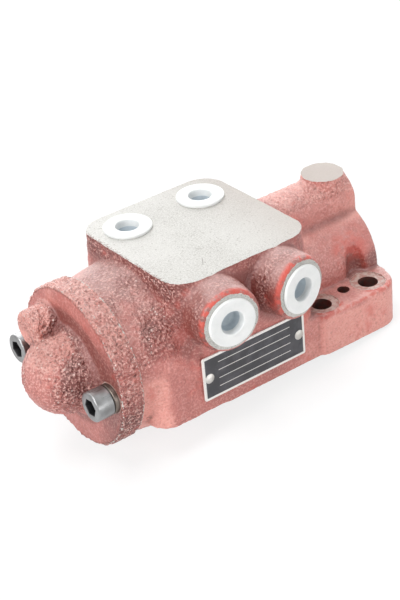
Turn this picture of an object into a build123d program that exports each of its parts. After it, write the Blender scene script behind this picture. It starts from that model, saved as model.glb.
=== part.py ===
from build123d import *
from dataclasses import dataclass
import math
import os

# Hydraulic steering control valve: a cast spool valve with its cover, spool, inner valves and transit plugs.
# The frame: +X runs along the spool from the end cover to the mounting feet, -Y faces the two cylinder
# ports and +Z points up. The origin is the centre of the four foot bolts on the base face. Sizes are in mm.

# Clearances and small shared sizes
running_gap = 0.04          # radial clearance of a sliding fit
loose_gap = 0.15            # clearance of a piece that is only located
seat_gap = 0.02             # clearance of a valve's closed seat

# Feet and base face
axis_height = 25.5          # spool axis above the base face
foot_spacing_x = 33.0
foot_spacing_y = 78.0
foot_hole_r = 5.5
foot_thickness = 24.0
foot_half_width = 51.0
foot_corner_r = 15.0
foot_edge_r = 1.6
foot_inner_corner_r = 3.2
foot_link_overlap = 5.0     # how far the block's base line runs into the feet
foot_start_x = -26.5
body_end_x = 31.6
spot_face_r = 9.5
spot_face_depth = 0.6
head_pocket_r = 7.5         # half-round relief beside each foot bolt, for the wrench
head_pocket_reach = 25.5    # how close the relief comes to the spool axis
tapped_hole_r = 3.4
tapped_hole_x = 1.1
tapped_hole_y = 36.6

# Central block with the machined pad
pad_height = 74.5
pad_centre_x = -67.6
pad_length = 86.6
pad_corner_r = 14.0
wall_half_width = 48.5
wall_draw_in = 4.0          # how much narrower each side is at the pad
wall_draft_z = 42.0         # below this height the long walls are upright
skirt_start_x = -130.4
skirt_height = 33.0
skirt_corner_r = 12.0
skirt_draft = 8.0
recess_depth = 14.0         # cored recesses in the underside, beside the spool housing
recess_wall = 10.0
recess_corner_r = 6.0
housing_core_r = 24.0

# Drum at the cover end
seam_x = -135.2
drum_r = 42.0
drum_root_r = 45.2
drum_root_x = -110.9
drum_heel_x = -92.0         # where the drum's underside has run out into the base face
drum_belly_r = 10.0         # cast rounding between the drum's side and its heel
chamber_r = 18.0
chamber_end_x = -112.0

# Spool housing, web, gallery tube and clamping boss on the foot side
housing_r = 30.0
web_half_width = 13.5
web_root_r = 1.5            # cast fillet between the web and the spool housing
tube_r = 13.5
tube_height = 59.0
boss_x = 20.4
boss_top_r = 11.5
boss_root_r = 14.2

# Ports
port_core_r = 8.25          # core of an M18 x 1.5 thread
port_thread_depth = 16.0
top_port_x_offset = 23.7
top_port_y = 25.0
top_passage_r = 7.25
top_port_floor = 44.0
return_port_floor = 54.0
side_port_x = (-92.3, -47.9)
side_boss_reach = 13.5      # how far a cylinder port's face stands out from the wall
side_port_drop = 18.3       # how far its centre lies below the pad
side_port_splay = 8.0       # each side port is turned outwards by this angle
side_boss_face_r = 15.2
side_boss_rim_r = 17.2
side_boss_root_r = 18.0
side_boss_length = 24.0
side_passage_r = 5.5
side_passage_y = -16.0

# Spool bore and its five annular grooves
bore_r = 11.0
groove_r = 14.0
groove_width = 6.0
groove_pitch = 13.5
groove_count = 5
groove_centre_x = -70.1
drilling_r = 3.2
branch_r = 2.8              # drillings that break into a long drilling from its side
drain_r = 2.2
cored_passage_r = 4.0
pressure_gallery_y = 18.0
pressure_gallery_z = 47.0
lever_opening_x = 16.0
lever_opening_y = 20.0
lever_opening_corner_r = 3.0
gallery_r = 5.2
check_seat_x = -6.0
drain_x = 15.0

# Spool
spool_left_x = -118.0
spool_right_x = 9.0
spool_groove_r = 7.5
lever_neck_r = 6.0
lever_neck_length = 15.5
spool_nose_r = 5.6
spool_nose_length = 3.5

# Centring parts in the drum and the cover's dome
seat_flange_r = 12.5
seat_flange_thickness = 3.0
seat_nose_r = 8.6
seat_nose_length = 5.0
centring_wire_r = 1.4
centring_mean_r = 10.4
centring_turns = 8
seat_screw_head_r = 5.0
seat_screw_head_height = 3.6
seat_screw_r = 3.0
seat_screw_length = 12.0
seat_screw_hex = 4.0

# End cover
gasket_thickness = 0.5
cover_r = 44.0
cover_rise = 1.0            # the cast flange sits this much higher than the drum's turned end
cover_thickness = 13.0
cover_edge_r = 1.2
cover_root_r = 2.0          # cast fillet where the dome and the nub leave the flange
cover_dome_r = 21.0
cover_dome_root_r = 24.0
cover_dome_straight = 6.0
cover_cavity_r = 13.5
cover_cavity_wall = 6.8
cover_spigot_length = 4.0
cover_nub_r = 10.0
cover_nub_edge_r = 1.6
cover_nub_length = 13.8

# Cover screws, M10 socket heads on spring washers
cover_screw_circle_r = 34.3
cover_screw_turn = 1.7      # the pair is turned this much about the spool axis, in degrees
cover_screw_r = 5.0
cover_screw_core_r = 4.25
cover_screw_hole_r = 5.5
cover_screw_head_r = 8.0
cover_screw_head_height = 10.0
cover_screw_head_edge = 0.8
cover_screw_hex = 8.0
cover_screw_hex_depth = 5.2
cover_screw_grip = 16.0
washer_r = 8.0
washer_thickness = 2.5
washer_split = 1.0
washer_split_angle = 20.0

# Relief valve, held in the drum and the cover's nub
relief_y = 17.6
relief_rise = 20.9          # above the spool axis
relief_chamber_r = 6.5
relief_inlet_r = 3.0
relief_seat_length = 7.0
relief_poppet_r = 5.4
relief_poppet_length = 6.0
relief_cone_length = 3.6
relief_stem_r = 2.2
relief_stem_length = 8.0
relief_wire_r = 0.8
relief_mean_r = 3.6
relief_turns = 9
relief_shim_thickness = 2.0

# Bore plug and gallery plug on the foot end
bore_plug_r = 12.6
bore_plug_length = 6.5
bore_plug_nose_r = 10.6
bore_plug_hex = 12.0
bore_plug_hex_depth = 4.6
plug_ring_r = 0.9
plug_nose_length = 2.7
end_spring_wire_r = 0.8
end_spring_mean_r = 6.9
end_spring_turns = 4
gallery_plug_r = 7.2
gallery_plug_length = 7.0
gallery_plug_hex = 6.0
gallery_plug_hex_depth = 4.4

# Check valve in the gallery
check_ball_r = 4.2
check_wire_r = 0.45
check_mean_r = 3.3
check_turns = 8

# Spool seal between the last groove and the lever opening
seal_x = -24.0
seal_section = 2.4

# Transit plugs
plug_flange_r = 13.0
plug_flange_thickness = 1.8
plug_flange_edge = 0.5
plug_shank_length = 11.0
plug_recess_r = 6.4
plug_recess_floor_r = 5.4
plug_recess_depth = 9.0

# Nameplate and its rivets
rivet_margin = 3.8          # from each rivet's centre to the plate's end
plate_height = 25.5
plate_thickness = 0.8
plate_centre_x = -70.3
plate_centre_z = 19.9
rivet_spacing = 58.4
rivet_head_r = 2.7
rivet_head_height = 1.1
rivet_dome_r = 0.9
rivet_shank_r = 1.5
rivet_shank_length = 5.0

# Every spring's wire is drawn with this many flats, which keeps the coils light
spring_flat_count = 8

# Places worked out from the sizes above
pad_width = 2 * (wall_half_width - wall_draw_in)
side_port_y = -wall_half_width - side_boss_reach
side_port_z = pad_height - side_port_drop
plate_length = rivet_spacing + 2 * rivet_margin
cover_back_x = seam_x - gasket_thickness
cover_front_x = cover_back_x - cover_thickness
dome_centre_x = cover_front_x - cover_dome_straight
dome_front_x = dome_centre_x - cover_dome_r
nub_end_x = cover_front_x - cover_nub_length
cavity_end_x = dome_front_x + cover_cavity_wall
relief_z = axis_height + relief_rise
relief_seat_x = chamber_end_x - relief_seat_length
shim_x = nub_end_x + cover_nub_edge_r + relief_shim_thickness
bore_plug_back_x = body_end_x - bore_plug_length
gallery_plug_back_x = body_end_x - gallery_plug_length
groove_xs = [groove_centre_x + (i - (groove_count - 1) / 2) * groove_pitch for i in range(groove_count)]


@dataclass
class Port:
    """One threaded port: the centre of its face and the direction that it points in."""
    name: str
    plane: Plane


def top_port(name, side):
    """A port in the machined pad, on the cover side for -1 and the foot side for +1."""
    return Port(name, Plane(origin=(pad_centre_x + side * top_port_x_offset, top_port_y, pad_height),
                            x_dir=(1, 0, 0), z_dir=(0, 0, 1)))


def side_port(name, x, side):
    """A cylinder port in the front wall, turned outwards by the splay."""
    angle = math.radians(side_port_splay) * side
    return Port(name, Plane(origin=(x, side_port_y, side_port_z), x_dir=(0, 0, 1),
                            z_dir=(math.sin(angle), -math.cos(angle), 0)))


pressure_port = top_port("pressure_port", -1)
return_port = top_port("return_port", 1)
left_port = side_port("left_cylinder_port", side_port_x[0], -1)
right_port = side_port("right_cylinder_port", side_port_x[1], 1)
side_ports = (left_port, right_port)


def x_cylinder(radius, x_low, x_high, y=0.0, z=axis_height):
    """A cylinder along X between two stations."""
    return Pos((x_low + x_high) / 2, y, z) * Rot(0, 90, 0) * Cylinder(radius, x_high - x_low)


def z_cylinder(radius, z_low, z_high, x, y):
    """An upright cylinder between two heights."""
    return Pos(x, y, (z_low + z_high) / 2) * Cylinder(radius, z_high - z_low)


def y_cylinder(radius, y_low, y_high, x, z):
    """A cylinder along Y between two stations."""
    return Pos(x, (y_low + y_high) / 2, z) * Rot(90, 0, 0) * Cylinder(radius, y_high - y_low)


def span_box(x_span, y_span, z_span):
    """A box between pairs of coordinates."""
    (x0, x1), (y0, y1), (z0, z1) = x_span, y_span, z_span
    return Pos((x0 + x1) / 2, (y0 + y1) / 2, (z0 + z1) / 2) * Box(x1 - x0, y1 - y0, z1 - z0)


def along(port, start, end):
    """The location, in a port's own frame, of a piece that lies between two depths below its face."""
    return port.plane.location * Pos(0, 0, -(start + end) / 2)


def x_revolve(points, y=0.0, z=axis_height):
    """Revolves a profile of (x, radius) points about an axis along X."""
    face = make_face(Polyline(*[(x, r) for x, r in points], close=True))
    return Pos(0, y, z) * revolve(face, Axis.X)


def hex_socket(across_flats, depth, x_mouth, side, y=0.0, z=axis_height):
    """A hexagonal key socket cut along X: side +1 opens towards +X and -1 towards -X."""
    hexagon = RegularPolygon(across_flats / math.sqrt(3), 6)
    prism = extrude(hexagon, depth)
    return Pos(x_mouth - side * depth, y, z) * Rot(0, 90 * side, 0) * prism


def o_ring(radius, section, x, y=0.0, z=axis_height):
    """A sealing ring about an axis along X."""
    return Pos(x, y, z) * Rot(0, 90, 0) * Torus(radius, section)


def coil_spring(wire_r, mean_r, x_low, x_high, turns, y=0.0, z=axis_height):
    """A compression spring along X that fills the space between two stations."""
    height = x_high - x_low - 2 * wire_r
    path = Helix(height / turns, height, mean_r)
    section = RegularPolygon(wire_r, spring_flat_count)
    wire = sweep(Plane(origin=path @ 0, z_dir=path % 0) * section, path, is_frenet=True)
    return Pos(x_low + wire_r, y, z) * Rot(0, 90, 0) * wire


def rounded_plate(x_low, x_high, half_width, z_low, z_high, corner_r, taper=0.0):
    """An upright block with rounded corners, which may draw in towards its top."""
    outline = RectangleRounded(x_high - x_low, 2 * half_width, corner_r)
    return Pos((x_low + x_high) / 2, 0, z_low) * extrude(outline, z_high - z_low, taper=taper)


def foot_positions():
    """The four foot bolts, as (x, y) places."""
    return [(sx * foot_spacing_x / 2, sy * foot_spacing_y / 2) for sx in (-1, 1) for sy in (-1, 1)]


def central_block():
    """The block under the pad: upright below and drawn in towards the pad above."""
    x_low, x_high = pad_centre_x - pad_length / 2, pad_centre_x + pad_length / 2
    lower = rounded_plate(x_low, x_high, wall_half_width, 0, wall_draft_z, pad_corner_r)
    base = Plane.XY.offset(wall_draft_z) * Pos(pad_centre_x, 0)
    top = Plane.XY.offset(pad_height) * Pos(pad_centre_x, 0)
    upper = loft([base * RectangleRounded(pad_length, 2 * wall_half_width, pad_corner_r),
                  top * RectangleRounded(pad_length, pad_width, pad_corner_r)])
    return lower + upper


def drum():
    """The round end that carries the cover, with the skirt that brings it down to the base line."""
    side = Polyline((seam_x, 0), (seam_x, drum_r), (drum_root_x, drum_root_r))
    heel = Polyline((drum_root_x, drum_root_r), (drum_heel_x, axis_height), (drum_heel_x, 0), (seam_x, 0))
    face = make_face(side + heel)
    face = fillet(face.vertices().sort_by(Axis.Y)[-1], drum_belly_r)
    turned = Pos(0, 0, axis_height) * revolve(face, Axis.X)
    skirt = rounded_plate(skirt_start_x, pad_centre_x, wall_half_width, 0, skirt_height, skirt_corner_r,
                          skirt_draft)
    return turned + skirt


def spool_housing():
    """The round housing of the spool bore with the web on its back and the fillets between them."""
    x_low = pad_centre_x + pad_length / 2 - pad_corner_r
    housing = x_cylinder(housing_r, x_low, body_end_x)
    web = span_box((x_low, body_end_x), (-web_half_width, web_half_width), (axis_height, tube_height))
    housing += web
    root_z = axis_height + math.sqrt(housing_r ** 2 - web_half_width ** 2)
    root_r = min(web_root_r, (tube_height - root_z) / 2)
    along_x = housing.edges().filter_by(Axis.X)
    housing = fillet(along_x.filter_by(lambda edge: abs(edge.center().Z - root_z) < running_gap), root_r)
    return housing - span_box((x_low, body_end_x), (-housing_r, housing_r), (axis_height - housing_r, 0))


def clamping_boss():
    """The boss on the gallery tube, which ends at the end face."""
    height = pad_height - tube_height
    boss = Pos(boss_x, 0, tube_height + height / 2) * Cone(boss_root_r, boss_top_r, height)
    past_end = boss_x + 2 * boss_root_r
    return boss - span_box((body_end_x, past_end), (-boss_root_r, boss_root_r), (tube_height, pad_height))


def feet():
    """The two feet as one slab across the base, with the block's base line running into it."""
    slab = span_box((foot_start_x, body_end_x), (-foot_half_width, foot_half_width), (0, foot_thickness))
    slab = fillet(slab.edges().filter_by(Axis.Z).group_by(Axis.X)[-1], foot_corner_r)
    slab = fillet(slab.edges().filter_by(Axis.Z).group_by(Axis.X)[0], foot_inner_corner_r)
    slab = fillet(slab.faces().sort_by(Axis.Z)[-1].edges(), foot_edge_r)
    base_line = span_box((pad_centre_x, foot_start_x + foot_link_overlap),
                         (-wall_half_width, wall_half_width), (0, foot_thickness))
    return slab + base_line


def foot_side():
    """The spool housing with its gallery tube, clamping boss and feet."""
    x_low = pad_centre_x + pad_length / 2 - pad_corner_r
    tube = x_cylinder(tube_r, x_low, body_end_x, z=tube_height)
    return spool_housing() + tube + clamping_boss() + feet()


def side_bosses():
    """The two cast bosses of the cylinder ports, with rounded rims round their machined faces."""
    edge = side_boss_rim_r - side_boss_face_r
    profile = Polyline((side_boss_rim_r, -edge), (side_boss_root_r, -side_boss_length),
                       (0, -side_boss_length), (0, 0), (side_boss_face_r, 0))
    rim = RadiusArc((side_boss_face_r, 0), (side_boss_rim_r, -edge), edge)
    boss = revolve(Plane.XZ * make_face(profile + rim), Axis.Z)
    return left_port.plane.location * boss + right_port.plane.location * boss


def oil_passages():
    """The drillings and cored passages that join each port to its groove of the spool bore."""
    a_groove, b_groove = groove_xs[1], groove_xs[3]
    cuts = x_cylinder(bore_r, chamber_end_x, body_end_x)
    for x in groove_xs:
        cuts += x_cylinder(groove_r, x - groove_width / 2, x + groove_width / 2)
    for port in (pressure_port, return_port) + side_ports:
        cuts += along(port, 0, port_thread_depth) * Cylinder(port_core_r, port_thread_depth)
    for port, groove_x in ((left_port, a_groove), (right_port, b_groove)):
        depth = (side_passage_y - side_port_y) / math.cos(math.radians(side_port_splay))
        cuts += along(port, 0, depth) * Cylinder(side_passage_r, depth)
        cuts += z_cylinder(cored_passage_r, axis_height, side_port_z, groove_x, side_passage_y)
    px, rx = pressure_port.plane.origin.X, return_port.plane.origin.X
    cuts += z_cylinder(top_passage_r, top_port_floor, pad_height, px, top_port_y)
    cuts += z_cylinder(top_passage_r, return_port_floor, pad_height, rx, top_port_y)
    cuts += x_cylinder(drilling_r, px, groove_centre_x, pressure_gallery_y, pressure_gallery_z)
    cuts += z_cylinder(drilling_r, axis_height, pressure_gallery_z, groove_centre_x,
                       pressure_gallery_y - drilling_r)
    cuts += y_cylinder(branch_r, 0, top_port_y, rx, tube_height)
    cuts += x_cylinder(drilling_r, groove_xs[0], check_seat_x, z=tube_height)
    cuts += z_cylinder(branch_r, axis_height, tube_height, groove_xs[0], 0)
    cuts += z_cylinder(branch_r, axis_height, tube_height, groove_xs[-1], 0)
    cuts += x_cylinder(gallery_r, check_seat_x, body_end_x, z=tube_height)
    cuts += z_cylinder(drain_r, axis_height, tube_height, drain_x, 0)
    cuts += x_cylinder(relief_inlet_r, chamber_end_x, px, relief_y, relief_z)
    return cuts


def plug_seats():
    """The chamber in the drum, the seats of the plugs and the groove of the spool seal."""
    cuts = x_cylinder(chamber_r, seam_x, chamber_end_x)
    cuts += x_cylinder(relief_chamber_r, seam_x, chamber_end_x, relief_y, relief_z)
    cuts += x_cylinder(bore_plug_r, bore_plug_back_x - 2 * plug_ring_r, body_end_x)
    cuts += x_cylinder(gallery_plug_r, gallery_plug_back_x - 2 * plug_ring_r, body_end_x, z=tube_height)
    seal_groove_r = bore_r + running_gap + seal_section
    cuts += x_cylinder(seal_groove_r, seal_x - seal_section / 2, seal_x + seal_section / 2)
    for y, z in cover_screw_places():
        cuts += x_cylinder(cover_screw_core_r, seam_x, seam_x + cover_screw_grip, y, z)
    return cuts


def foot_holes():
    """The foot bolts' holes, spot-faces and wrench reliefs, and the tapped hole between them."""
    cuts = Part()
    top = foot_thickness - spot_face_depth
    pocket_y = head_pocket_reach + head_pocket_r
    for x, y in foot_positions():
        side = 1 if y > 0 else -1
        cuts += z_cylinder(foot_hole_r, 0, foot_thickness, x, y)
        cuts += z_cylinder(spot_face_r, top, foot_thickness + foot_edge_r, x, y)
        cuts += z_cylinder(head_pocket_r, foot_thickness, tube_height, x, side * pocket_y)
    for side in (-1, 1):
        cuts += z_cylinder(tapped_hole_r, 0, foot_thickness, tapped_hole_x, side * tapped_hole_y)
    return cuts


def underside():
    """The lever opening into the spool bore and the cored recesses beside the spool housing."""
    half_x, half_y = lever_opening_x / 2, lever_opening_y / 2
    opening = span_box((-half_x, half_x), (-half_y, half_y), (0, axis_height))
    opening = fillet(opening.edges().filter_by(Axis.Z), lever_opening_corner_r)
    x_low, x_high = pad_centre_x - pad_length / 2 + recess_wall, foot_start_x - recess_wall
    room = span_box((x_low, x_high), (-wall_half_width + recess_wall, wall_half_width - recess_wall),
                    (0, recess_depth))
    room = fillet(room.edges().filter_by(Axis.Z), recess_corner_r)
    return opening + (room - x_cylinder(housing_core_r, x_low, x_high))


def valve_body():
    """The one-piece casting, machined."""
    casting = central_block() + drum() + foot_side() + side_bosses()
    return casting - oil_passages() - plug_seats() - foot_holes() - underside()


def cover_screw_places():
    """The cover screws' places as (y, z), across the spool axis from each other."""
    turn = math.radians(cover_screw_turn)
    out, up = cover_screw_circle_r * math.cos(turn), cover_screw_circle_r * math.sin(turn)
    return [(side * out, axis_height + side * up) for side in (-1, 1)]


def cast_root(radius):
    """The start of a boss's profile on the cover's front, from inside the flange out over its cast fillet."""
    foot = radius + cover_root_r
    start = Polyline((cover_back_x, 0), (cover_back_x, foot), (cover_front_x, foot))
    return start + RadiusArc((cover_front_x, foot), (cover_front_x - cover_root_r, radius), -cover_root_r)


def cover_dome():
    """The dome over the centring spring."""
    side = Line((cover_front_x - cover_root_r, cover_dome_root_r), (dome_centre_x, cover_dome_r))
    cap = RadiusArc((dome_centre_x, cover_dome_r), (dome_front_x, 0), -cover_dome_r)
    face = make_face(cast_root(cover_dome_root_r) + side + cap + Line((dome_front_x, 0), (cover_back_x, 0)))
    return Pos(0, 0, axis_height) * revolve(face, Axis.X)


def cover_nub():
    """The nub over the relief spring, with its rounded end."""
    edge_x, flat_r = nub_end_x + cover_nub_edge_r, cover_nub_r - cover_nub_edge_r
    side = Line((cover_front_x - cover_root_r, cover_nub_r), (edge_x, cover_nub_r))
    edge = RadiusArc((edge_x, cover_nub_r), (nub_end_x, flat_r), -cover_nub_edge_r)
    end = Polyline((nub_end_x, flat_r), (nub_end_x, 0), (cover_back_x, 0))
    return Pos(0, relief_y, relief_z) * revolve(make_face(cast_root(cover_nub_r) + side + edge + end), Axis.X)


def end_cover():
    """The cast cover: a flange, the dome over the centring spring and the nub over the relief spring."""
    flange = x_cylinder(cover_r, cover_front_x, cover_back_x, z=axis_height + cover_rise)
    flange = fillet(flange.edges().filter_by(GeomType.CIRCLE).sort_by(Axis.X)[0], cover_edge_r)
    spigot = x_cylinder(chamber_r - loose_gap, cover_back_x, seam_x + cover_spigot_length)
    cover = flange + cover_dome() + cover_nub() + spigot
    cover -= x_cylinder(cover_cavity_r, cavity_end_x, seam_x + cover_spigot_length)
    cover -= x_cylinder(relief_chamber_r, shim_x - relief_shim_thickness, cover_back_x, relief_y, relief_z)
    for y, z in cover_screw_places():
        cover -= x_cylinder(cover_screw_hole_r, cover_front_x, cover_back_x, y, z)
    return cover


def cover_gasket():
    """The paper gasket between the drum and the cover."""
    gasket = x_cylinder(drum_r, cover_back_x, seam_x) - x_cylinder(chamber_r, cover_back_x, seam_x)
    gasket -= x_cylinder(relief_chamber_r, cover_back_x, seam_x, relief_y, relief_z)
    for y, z in cover_screw_places():
        gasket -= x_cylinder(cover_screw_hole_r, cover_back_x, seam_x, y, z)
    return gasket


def cover_screw(y, z):
    """One M10 socket-head screw, its thread drawn at the core size."""
    seat_x = cover_front_x - washer_thickness
    head = x_cylinder(cover_screw_head_r, seat_x - cover_screw_head_height, seat_x, y, z)
    head = fillet(head.edges().filter_by(GeomType.CIRCLE).sort_by(Axis.X)[0], cover_screw_head_edge)
    head -= hex_socket(cover_screw_hex, cover_screw_hex_depth, seat_x - cover_screw_head_height, -1, y, z)
    shank = x_cylinder(cover_screw_r, seat_x, cover_back_x, y, z)
    thread = x_cylinder(cover_screw_core_r, cover_back_x, seam_x + cover_screw_grip, y, z)
    return head + shank + thread


def spring_washer(y, z):
    """One split spring washer under a cover screw's head."""
    seat_x = cover_front_x - washer_thickness
    ring = x_cylinder(washer_r, seat_x, cover_front_x, y, z)
    ring -= x_cylinder(cover_screw_r + loose_gap, seat_x, cover_front_x, y, z)
    split = Box(2 * washer_thickness, washer_split, 2 * (washer_r - cover_screw_core_r))
    middle = Pos((seat_x + cover_front_x) / 2, y, z - washer_r)
    return ring - middle * Rot(0, 0, washer_split_angle) * split


def spool():
    """The sliding spool: four lands for the five grooves, the lever's neck and a nose for the end spring."""
    land_r = bore_r - running_gap
    body = x_cylinder(land_r, spool_left_x, spool_right_x)
    body += x_cylinder(spool_nose_r, spool_right_x, spool_right_x + spool_nose_length)
    for low, high in zip(groove_xs, groove_xs[1:]):
        middle = (low + high) / 2
        half = (high - low - groove_width) / 4
        body -= x_cylinder(2 * bore_r, middle - half, middle + half) - x_cylinder(
            spool_groove_r, middle - half, middle + half)
    neck_half = lever_neck_length / 2
    body -= x_cylinder(2 * bore_r, -neck_half, neck_half) - x_cylinder(lever_neck_r, -neck_half, neck_half)
    body -= x_cylinder(seat_screw_r, spool_left_x, spool_left_x + seat_screw_length)
    return body


def spring_seat():
    """The seat on the spool's end, which carries the centring spring."""
    flange_x = spool_left_x - seat_flange_thickness
    seat = x_cylinder(seat_flange_r, flange_x, spool_left_x)
    seat += x_cylinder(seat_nose_r, flange_x - seat_nose_length, flange_x)
    return seat - x_cylinder(seat_screw_r + loose_gap, flange_x - seat_nose_length, spool_left_x)


def seat_screw():
    """The screw that holds the spring seat to the spool."""
    head_x = spool_left_x - seat_flange_thickness - seat_nose_length
    head = x_cylinder(seat_screw_head_r, head_x - seat_screw_head_height, head_x)
    head -= hex_socket(seat_screw_hex, seat_screw_head_height / 2, head_x - seat_screw_head_height, -1)
    return head + x_cylinder(seat_screw_r, head_x, spool_left_x + seat_screw_length)


def centring_spring():
    """The long spring between the dome's floor and the spring seat."""
    return coil_spring(centring_wire_r, centring_mean_r, cavity_end_x, spool_left_x - seat_flange_thickness,
                       centring_turns)


def end_spring():
    """The short spring between the spool and the bore plug."""
    plug_nose_x = bore_plug_back_x - plug_nose_length
    return coil_spring(end_spring_wire_r, end_spring_mean_r, spool_right_x, plug_nose_x, end_spring_turns)


def bore_plug():
    """The threaded plug that closes the spool bore, flush with the end face."""
    plug = x_cylinder(bore_plug_r, bore_plug_back_x, body_end_x)
    plug += x_cylinder(bore_plug_nose_r, bore_plug_back_x - plug_nose_length, bore_plug_back_x)
    return plug - hex_socket(bore_plug_hex, bore_plug_hex_depth, body_end_x, 1)


def gallery_plug():
    """The threaded plug that closes the gallery, flush with the end face."""
    plug = x_cylinder(gallery_plug_r, gallery_plug_back_x, body_end_x, z=tube_height)
    nose_x = gallery_plug_back_x - plug_nose_length
    plug += x_cylinder(gallery_r - loose_gap, nose_x, gallery_plug_back_x, z=tube_height)
    return plug - hex_socket(gallery_plug_hex, gallery_plug_hex_depth, body_end_x, 1, z=tube_height)


def relief_seat():
    """The pressed-in seat of the relief valve."""
    seat = x_cylinder(relief_chamber_r, relief_seat_x, chamber_end_x, relief_y, relief_z)
    return seat - x_cylinder(relief_inlet_r, relief_seat_x, chamber_end_x, relief_y, relief_z)


def relief_poppet():
    """The relief valve's poppet: a cone on its seat, a guided head and a stem inside the spring."""
    face_x = relief_seat_x - seat_gap
    head_x = face_x - relief_poppet_length
    stem_x = head_x - relief_stem_length
    points = [(face_x + relief_cone_length / 2, 0), (face_x, relief_inlet_r - seat_gap),
              (face_x - relief_cone_length / 2, relief_poppet_r), (head_x, relief_poppet_r),
              (head_x, relief_stem_r), (stem_x, relief_stem_r), (stem_x, 0)]
    return x_revolve(points, relief_y, relief_z)


def relief_spring():
    """The relief valve's spring, between the poppet's head and the shim."""
    return coil_spring(relief_wire_r, relief_mean_r, shim_x, relief_seat_x - seat_gap - relief_poppet_length,
                       relief_turns, relief_y, relief_z)


def relief_shim():
    """The shim in the nub that sets the relief valve."""
    return x_cylinder(relief_chamber_r, shim_x - relief_shim_thickness, shim_x, relief_y, relief_z)


def ball_centre_x():
    """Where the check ball's centre lies when the ball touches the edge of its seat."""
    return check_seat_x + math.sqrt(check_ball_r ** 2 - drilling_r ** 2) + seat_gap


def check_ball():
    """The check valve's ball on the step of the gallery."""
    return Pos(ball_centre_x(), 0, tube_height) * Sphere(check_ball_r)


def check_spring():
    """The check valve's light spring, between the ball and the gallery plug."""
    contact = ball_centre_x() + math.sqrt(check_ball_r ** 2 - (check_mean_r - check_wire_r) ** 2)
    return coil_spring(check_wire_r, check_mean_r, contact, gallery_plug_back_x - plug_nose_length,
                       check_turns, z=tube_height)


def spool_seal():
    """The sealing ring in the body between the last groove and the lever opening."""
    section = seal_section / 2
    return o_ring(bore_r + running_gap + section, section, seal_x)


def transit_plug(port):
    """The moulded plastic plug that closes a port until its fitting goes in."""
    shank_r = port_core_r - running_gap
    flange = Cylinder(plug_flange_r, plug_flange_thickness)
    flange = fillet(flange.edges().filter_by(GeomType.CIRCLE).sort_by(Axis.Z)[-1], plug_flange_edge)
    plug = port.plane.location * Pos(0, 0, plug_flange_thickness / 2) * flange
    plug += along(port, 0, plug_shank_length) * Cylinder(shank_r, plug_shank_length)
    recess = Cone(plug_recess_floor_r, plug_recess_r, plug_recess_depth)
    return plug - port.plane.location * Pos(0, 0, plug_flange_thickness - plug_recess_depth / 2) * recess


def rivet_places():
    """The rivets' places in X."""
    return [plate_centre_x + side * rivet_spacing / 2 for side in (-1, 1)]


def nameplate():
    """The blank nameplate on the front wall."""
    front_y = -wall_half_width - plate_thickness
    outline = Box(plate_length, plate_thickness, plate_height)
    plate = Pos(plate_centre_x, (front_y - wall_half_width) / 2, plate_centre_z) * outline
    for x in rivet_places():
        plate -= y_cylinder(rivet_shank_r, front_y, -wall_half_width, x, plate_centre_z)
    return plate


def rivet(x):
    """One drive rivet with a domed head."""
    front_y = -wall_half_width - plate_thickness
    head = Pos(x, front_y, plate_centre_z) * Rot(90, 0, 0) * Pos(0, 0, rivet_head_height / 2) * Cylinder(
        rivet_head_r, rivet_head_height)
    head = fillet(head.edges().filter_by(GeomType.CIRCLE).sort_by(Axis.Y)[0], rivet_dome_r)
    return head + y_cylinder(rivet_shank_r, front_y, -wall_half_width + rivet_shank_length, x, plate_centre_z)


def rivet_holes():
    """The holes in the wall that the rivets are driven into."""
    wall_y, end_y = -wall_half_width, -wall_half_width + rivet_shank_length
    holes = [y_cylinder(rivet_shank_r, wall_y, end_y, x, plate_centre_z)
             for x in rivet_places()]
    return holes[0] + holes[1]


def main():
    """Builds every piece and writes one file for each."""
    os.makedirs("parts", exist_ok=True)
    pieces = {
        "valve_body": valve_body() - rivet_holes(),
        "end_cover": end_cover(),
        "cover_gasket": cover_gasket(),
        "cover_screws": Compound(children=[cover_screw(*place) for place in cover_screw_places()]),
        "cover_spring_washers": Compound(children=[spring_washer(*place) for place in cover_screw_places()]),
        "spool": spool(),
        "spool_seal": spool_seal(),
        "spring_seat": spring_seat(),
        "seat_screw": seat_screw(),
        "centring_spring": centring_spring(),
        "end_spring": end_spring(),
        "bore_plug": bore_plug(),
        "bore_plug_seal": o_ring(bore_plug_r - plug_ring_r, plug_ring_r, bore_plug_back_x - plug_ring_r),
        "gallery_plug": gallery_plug(),
        "gallery_plug_seal": o_ring(gallery_plug_r - plug_ring_r, plug_ring_r,
                                    gallery_plug_back_x - plug_ring_r, z=tube_height),
        "relief_seat": relief_seat(),
        "relief_poppet": relief_poppet(),
        "relief_spring": relief_spring(),
        "relief_shim": relief_shim(),
        "check_ball": check_ball(),
        "check_spring": check_spring(),
        "nameplate": nameplate(),
        "nameplate_rivets": Compound(children=[rivet(x) for x in rivet_places()]),
    }
    for port in (pressure_port, return_port) + side_ports:
        pieces[port.name + "_plug"] = transit_plug(port)
    for name, shape in pieces.items():
        export_step(shape, f"parts/{name}.step")
        print(name, round(shape.volume, 1))


main()
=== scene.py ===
"""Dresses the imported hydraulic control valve: castings, fasteners, plugs, springs and nameplate, in a studio.

Sizes are in millimetres in the valve's own frame and become metres when a mesh is made. The castings are
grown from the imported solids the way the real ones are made: a rough cast skin first, then the machined
faces and holes.
"""

from __future__ import annotations

import logging
import math
from collections.abc import Callable
from dataclasses import dataclass, field
from enum import Enum
from itertools import product

import bmesh
import bpy
import numpy as np
from bmesh.types import BMesh, BMFace, BMVert
from bpy.types import ID, Material, Mesh, Node, NodeSocket, NodeTree, Object
from mathutils import Matrix, Vector

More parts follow.
